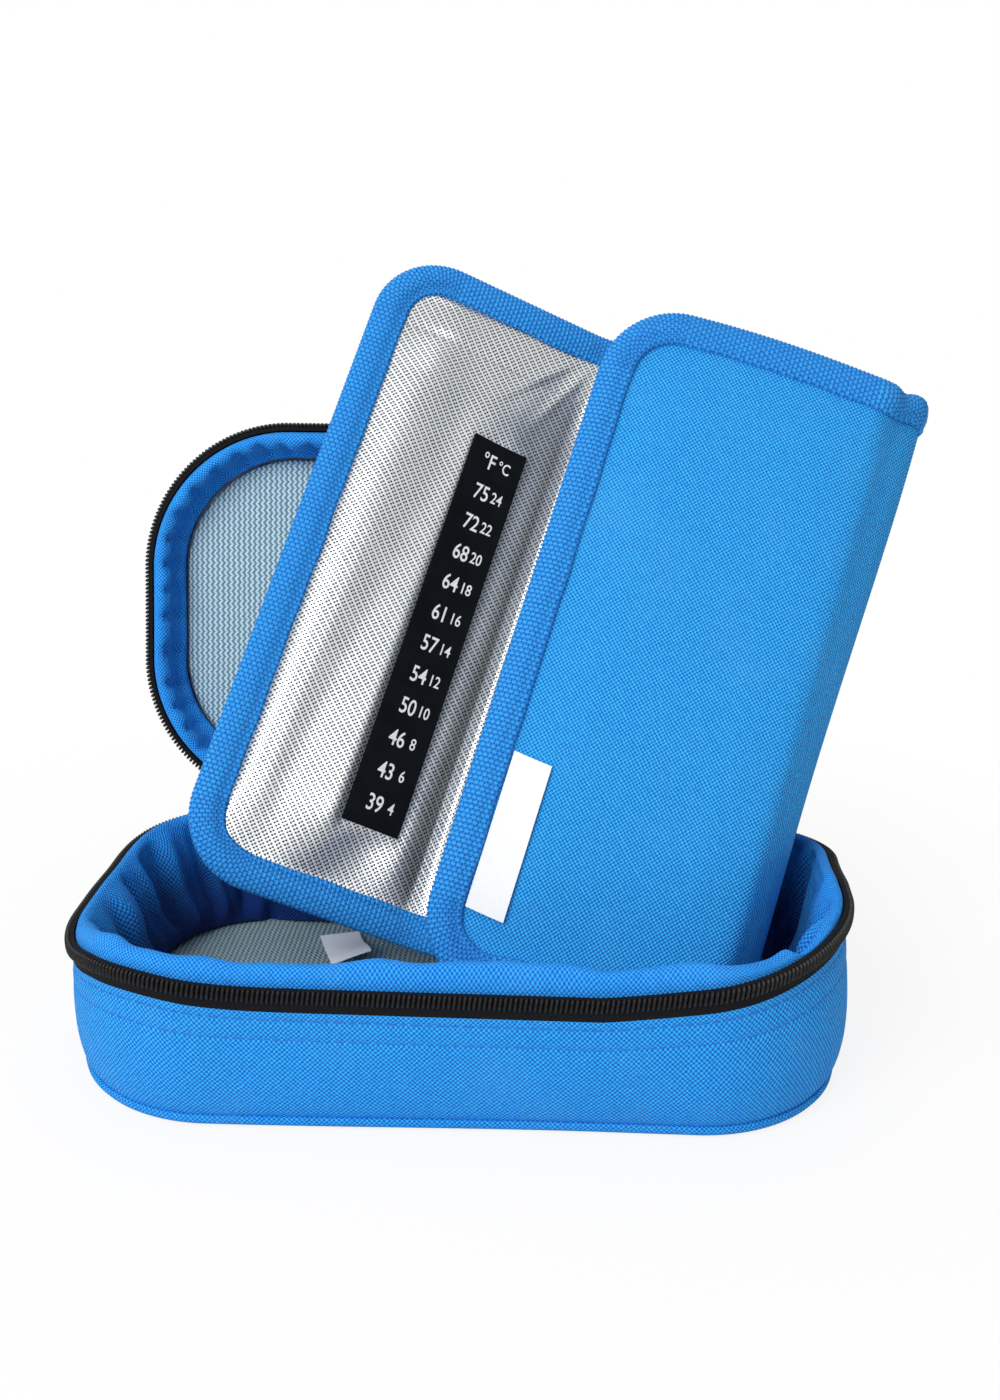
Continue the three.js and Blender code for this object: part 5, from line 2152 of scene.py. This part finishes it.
    def figures(self) -> None:
        """White figures on the strip: Fahrenheit on the left, Celsius smaller on the right."""
        rows = [("°F", "°C"), *((str(round(32 + 1.8 * c)), str(c)) for c in range(24, 3, -2))]
        pitch, first, sign_shift = 9.85 * MM, 6.6 * MM, 0.9 * MM
        columns = ((7.7 * MM, 6.8 * MM), (12.7 * MM, 4.9 * MM))
        words = []
        for row, pair in enumerate(rows):
            line = self.strip_foot + self.strip_length - first - row * pitch
            left = self.strip_span()[0] - (0 if row else sign_shift)
            words += [self.word(text, left + middle, line, size) for text, (middle, size) in zip(pair, columns)]
        piece = joined(words)
        piece.name = piece.data.name = "thermometer_figures"
        self.shop.mount(Body.FLAP, piece, Finishes.ink, Slot.FILM, angle=0)

    def word(self, text: str, travel: float, along: float, size: float) -> Piece:
        """One printed figure, laid on the strip.

        Args:
            text: Its characters.
            travel: Its middle across the strip.
            along: Its middle along the strip.
            size: The height of the type.

        Returns:
            The figure as a mesh.
        """
        narrowing, clear = 0.74, 0.03 * MM
        piece = added(bpy.ops.object.text_add)
        piece.data.body = text
        piece.data.size = size
        piece.data.align_x = piece.data.align_y = "CENTER"
        piece.data.extrude = 0.02 * MM
        piece.data.offset = 0.010 * size
        piece.data.resolution_u = 4
        bpy.ops.object.convert(target="MESH")
        mesh = piece.data
        flat = np.empty(len(mesh.vertices) * 3)
        mesh.vertices.foreach_get("co", flat)
        flat = flat.reshape(-1, 3)
        s, l = travel + flat[:, 0] * narrowing, along + flat[:, 1]
        rise = self.strip_face(s, l) + self.film + clear + flat[:, 2]
        mesh.vertices.foreach_set("co", self.path.spots(s, l, rise).astype(np.float32).ravel())
        mesh.update()
        return piece

    def label(self) -> None:
        """The bare satin label sewn beside the cover's edge tape."""
        high = self.path.total - self.tape_reach - 0.9 * MM
        along = np.linspace(self.label_foot, self.label_foot + self.label_length, 60)
        s, l = lattice(np.linspace(high - self.label_width, high, 20), along)
        l = l - self.label_slant * (high - s)
        loose = (high - s) / self.label_width
        foot = 1 - ramp(l, self.label_foot, self.label_foot + 9 * MM)
        lift = 0.25 * MM + 0.55 * MM * loose**2 + 0.3 * MM * foot * loose
        rise = self.outer_rise(s, l) - lift - 0.3 * MM
        piece = cloth_grid("cover_label", self.path.spots(s, l, rise), s, l, flip=True)
        thicken(piece, self.satin)
        self.shop.mount(Body.COVER, piece, Finishes.satin, Slot.LABEL, "front_cover_label")


@dataclass
class CareTag:
    """The bare care tag on the tray's mesh floor, curling up at its front end, more on its right."""

    shop: Workshop
    x: float = -42 * MM
    back: float = 36 * MM
    width: float = 12 * MM
    length: float = 22 * MM
    floor: float = 7.9 * MM
    turn: float = 18.0
    satin: float = 0.35 * MM
    curl: Span = (1.6 * MM, 2.8 * MM)

    def build(self) -> None:
        """Makes the tag."""
        across = np.linspace(-self.width / 2, self.width / 2, 14)
        along = np.linspace(0, self.length, 40)
        a, b = lattice(across, along)
        tip = self.curl[0] + self.curl[1] * (a / self.width + 0.5)
        curl = tip * ramp(b, 0.1 * self.length, self.length) ** 1.3
        wave = 0.4 * MM * np.sin(a / self.width * 2.4 + 1.0) * b / self.length
        turn = math.radians(self.turn)
        x = self.x + a * math.cos(turn) + b * math.sin(turn)
        y = self.back + a * math.sin(turn) - b * math.cos(turn)
        points = np.stack([x, y, self.floor + curl + wave + 0.4 * MM], -1)
        piece = cloth_grid("tray_care_tag", points, a, b, flip=True)
        thicken(piece, self.satin)
        self.shop.mount(Body.BASE, piece, Finishes.satin, Slot.LABEL, "care_tag")


# The studio


@dataclass(frozen=True)
class Lamp:
    """A soft square lamp that looks at the case."""

    name: str
    place: Point
    size: float
    power: float
    only_shine: bool = False

    def build(self, target: Vector) -> None:
        """Hangs the lamp.

        Args:
            target: The point that it looks at.
        """
        data = bpy.data.lights.new(self.name, "AREA")
        data.size = self.size
        data.energy = self.power
        lamp = bpy.data.objects.new(self.name, data)
        bpy.context.scene.collection.objects.link(lamp)
        lamp.location = self.place
        lamp.visible_diffuse = not self.only_shine
        lamp.rotation_mode = "QUATERNION"
        lamp.rotation_quaternion = (target - Vector(self.place)).to_track_quat("-Z", "Y")


@dataclass
class Studio:
    """The pale floor, soft light, white surround and the camera at the photograph's angle."""

    azimuth: float = 3.48
    elevation: float = 19.06
    distance: float = 430.8 * MM
    target: Point = (9.7 * MM, 0.0, 97.9 * MM)
    focal_pixels: float = 1612.0
    image_height: float = 1400.0
    sensor: float = 36.0
    ambient: float = 0.42
    near_white: float = 0.86
    lamps: tuple[Lamp, ...] = (
        Lamp("key_lamp", (-0.5, -0.85, 0.85), 0.7, 11.6),
        Lamp("foil_lamp", (0.32, -0.99, 0.60), 0.4, 3.0, only_shine=True),
        Lamp("top_lamp", (0.0, 0.2, 1.2), 0.9, 2.6),
    )

    def build(self) -> None:
        """Sets up the whole studio."""
        bpy.context.scene.view_settings.view_transform = "Standard"
        self.camera()
        for lamp in self.lamps:
            lamp.build(Vector(self.target))
        self.surround()
        self.floor()

    def camera(self) -> None:
        """The camera, from the fit of the case's edges."""
        a, e = math.radians(self.azimuth), math.radians(self.elevation)
        back = Vector((math.sin(a) * math.cos(e), -math.cos(a) * math.cos(e), math.sin(e)))
        data = bpy.data.cameras.new("photo_camera")
        data.sensor_width = self.sensor
        data.lens = self.focal_pixels / self.image_height * self.sensor
        data.clip_start, data.clip_end = 0.01, 50
        camera = bpy.data.objects.new("photo_camera", data)
        bpy.context.scene.collection.objects.link(camera)
        camera.location = Vector(self.target) + back * self.distance
        camera.rotation_mode = "QUATERNION"
        camera.rotation_quaternion = (-back).to_track_quat("-Z", "Y")
        bpy.context.scene.camera = camera

    def surround(self) -> None:
        """White to the eye and in reflections, dimmer as a light."""
        world = bpy.data.worlds.new("white_surround")
        bpy.context.scene.world = world
        world.use_nodes = True
        sketch = NodeSketch(world.node_tree)
        strength = sketch.seen() * (1 - self.ambient) + self.ambient
        light = sketch.node("ShaderNodeBackground", {}, {"Color": WHITE, "Strength": strength})
        output = sketch.tree.nodes.new("ShaderNodeOutputWorld")
        sketch.plug(output.inputs["Surface"], light)

    def floor(self) -> None:
        """A pale floor that keeps the case's shadow and runs out to white."""
        floor = added(bpy.ops.mesh.primitive_plane_add, size=8, location=(0, 0, -0.3 * MM))
        floor.name = "studio_floor"
        sketch = ShaderSketch("pale_floor")
        sketch.set(Base_Color=(0.9, 0.9, 0.9), Roughness=0.9, Specular_IOR_Level=0.1)
        away = sketch.node("ShaderNodeVectorMath", {"operation": "LENGTH"}, {0: sketch.place()}, "Value")
        share = sketch.seen() * (away.above(0.1, 0.3) * (1 - self.near_white) + self.near_white)
        white = sketch.node("ShaderNodeEmission", {}, {"Color": WHITE})
        pale = Signal(sketch, sketch.shader.outputs[0])
        mixed = sketch.node("ShaderNodeMixShader", {}, {0: share, 1: pale, 2: white})
        sketch.plug(sketch.output.inputs["Surface"], mixed)
        floor.data.materials.append(sketch.material)


def main() -> None:
    """Builds the case, its liner and the studio round the frame."""
    logging.basicConfig(level=logging.INFO, format="%(name)s: %(message)s")
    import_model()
    Studio().build()
    shop = Workshop()
    CaseHalf(
        "tray", Body.BASE, TRAY_HEIGHT, 2 * MM, Finishes.floor_mesh, shop, FRONT_ROLL, LOOSE_END, sway=1.0
    ).build()
    CaseHalf(
        "lid", Body.LID, LID_HEIGHT, 4 * MM, Finishes.mesh, shop, LID_PUFF, LID_PUFF,
        pucker=9.5 * MM, trim=0.9 * MM, place=lid_place(),
    ).build()
    ClothHinge(shop).build()
    for side, body in ((Side.LEFT, Body.LEFT_PULL), (Side.RIGHT, Body.RIGHT_PULL)):
        ZipSlider(side, body, shop).build()
    Liner(shop).build()
    CareTag(shop).build()
    LOG.info("%d pieces", len(shop.made))


if __name__ == "__main__":
    main()
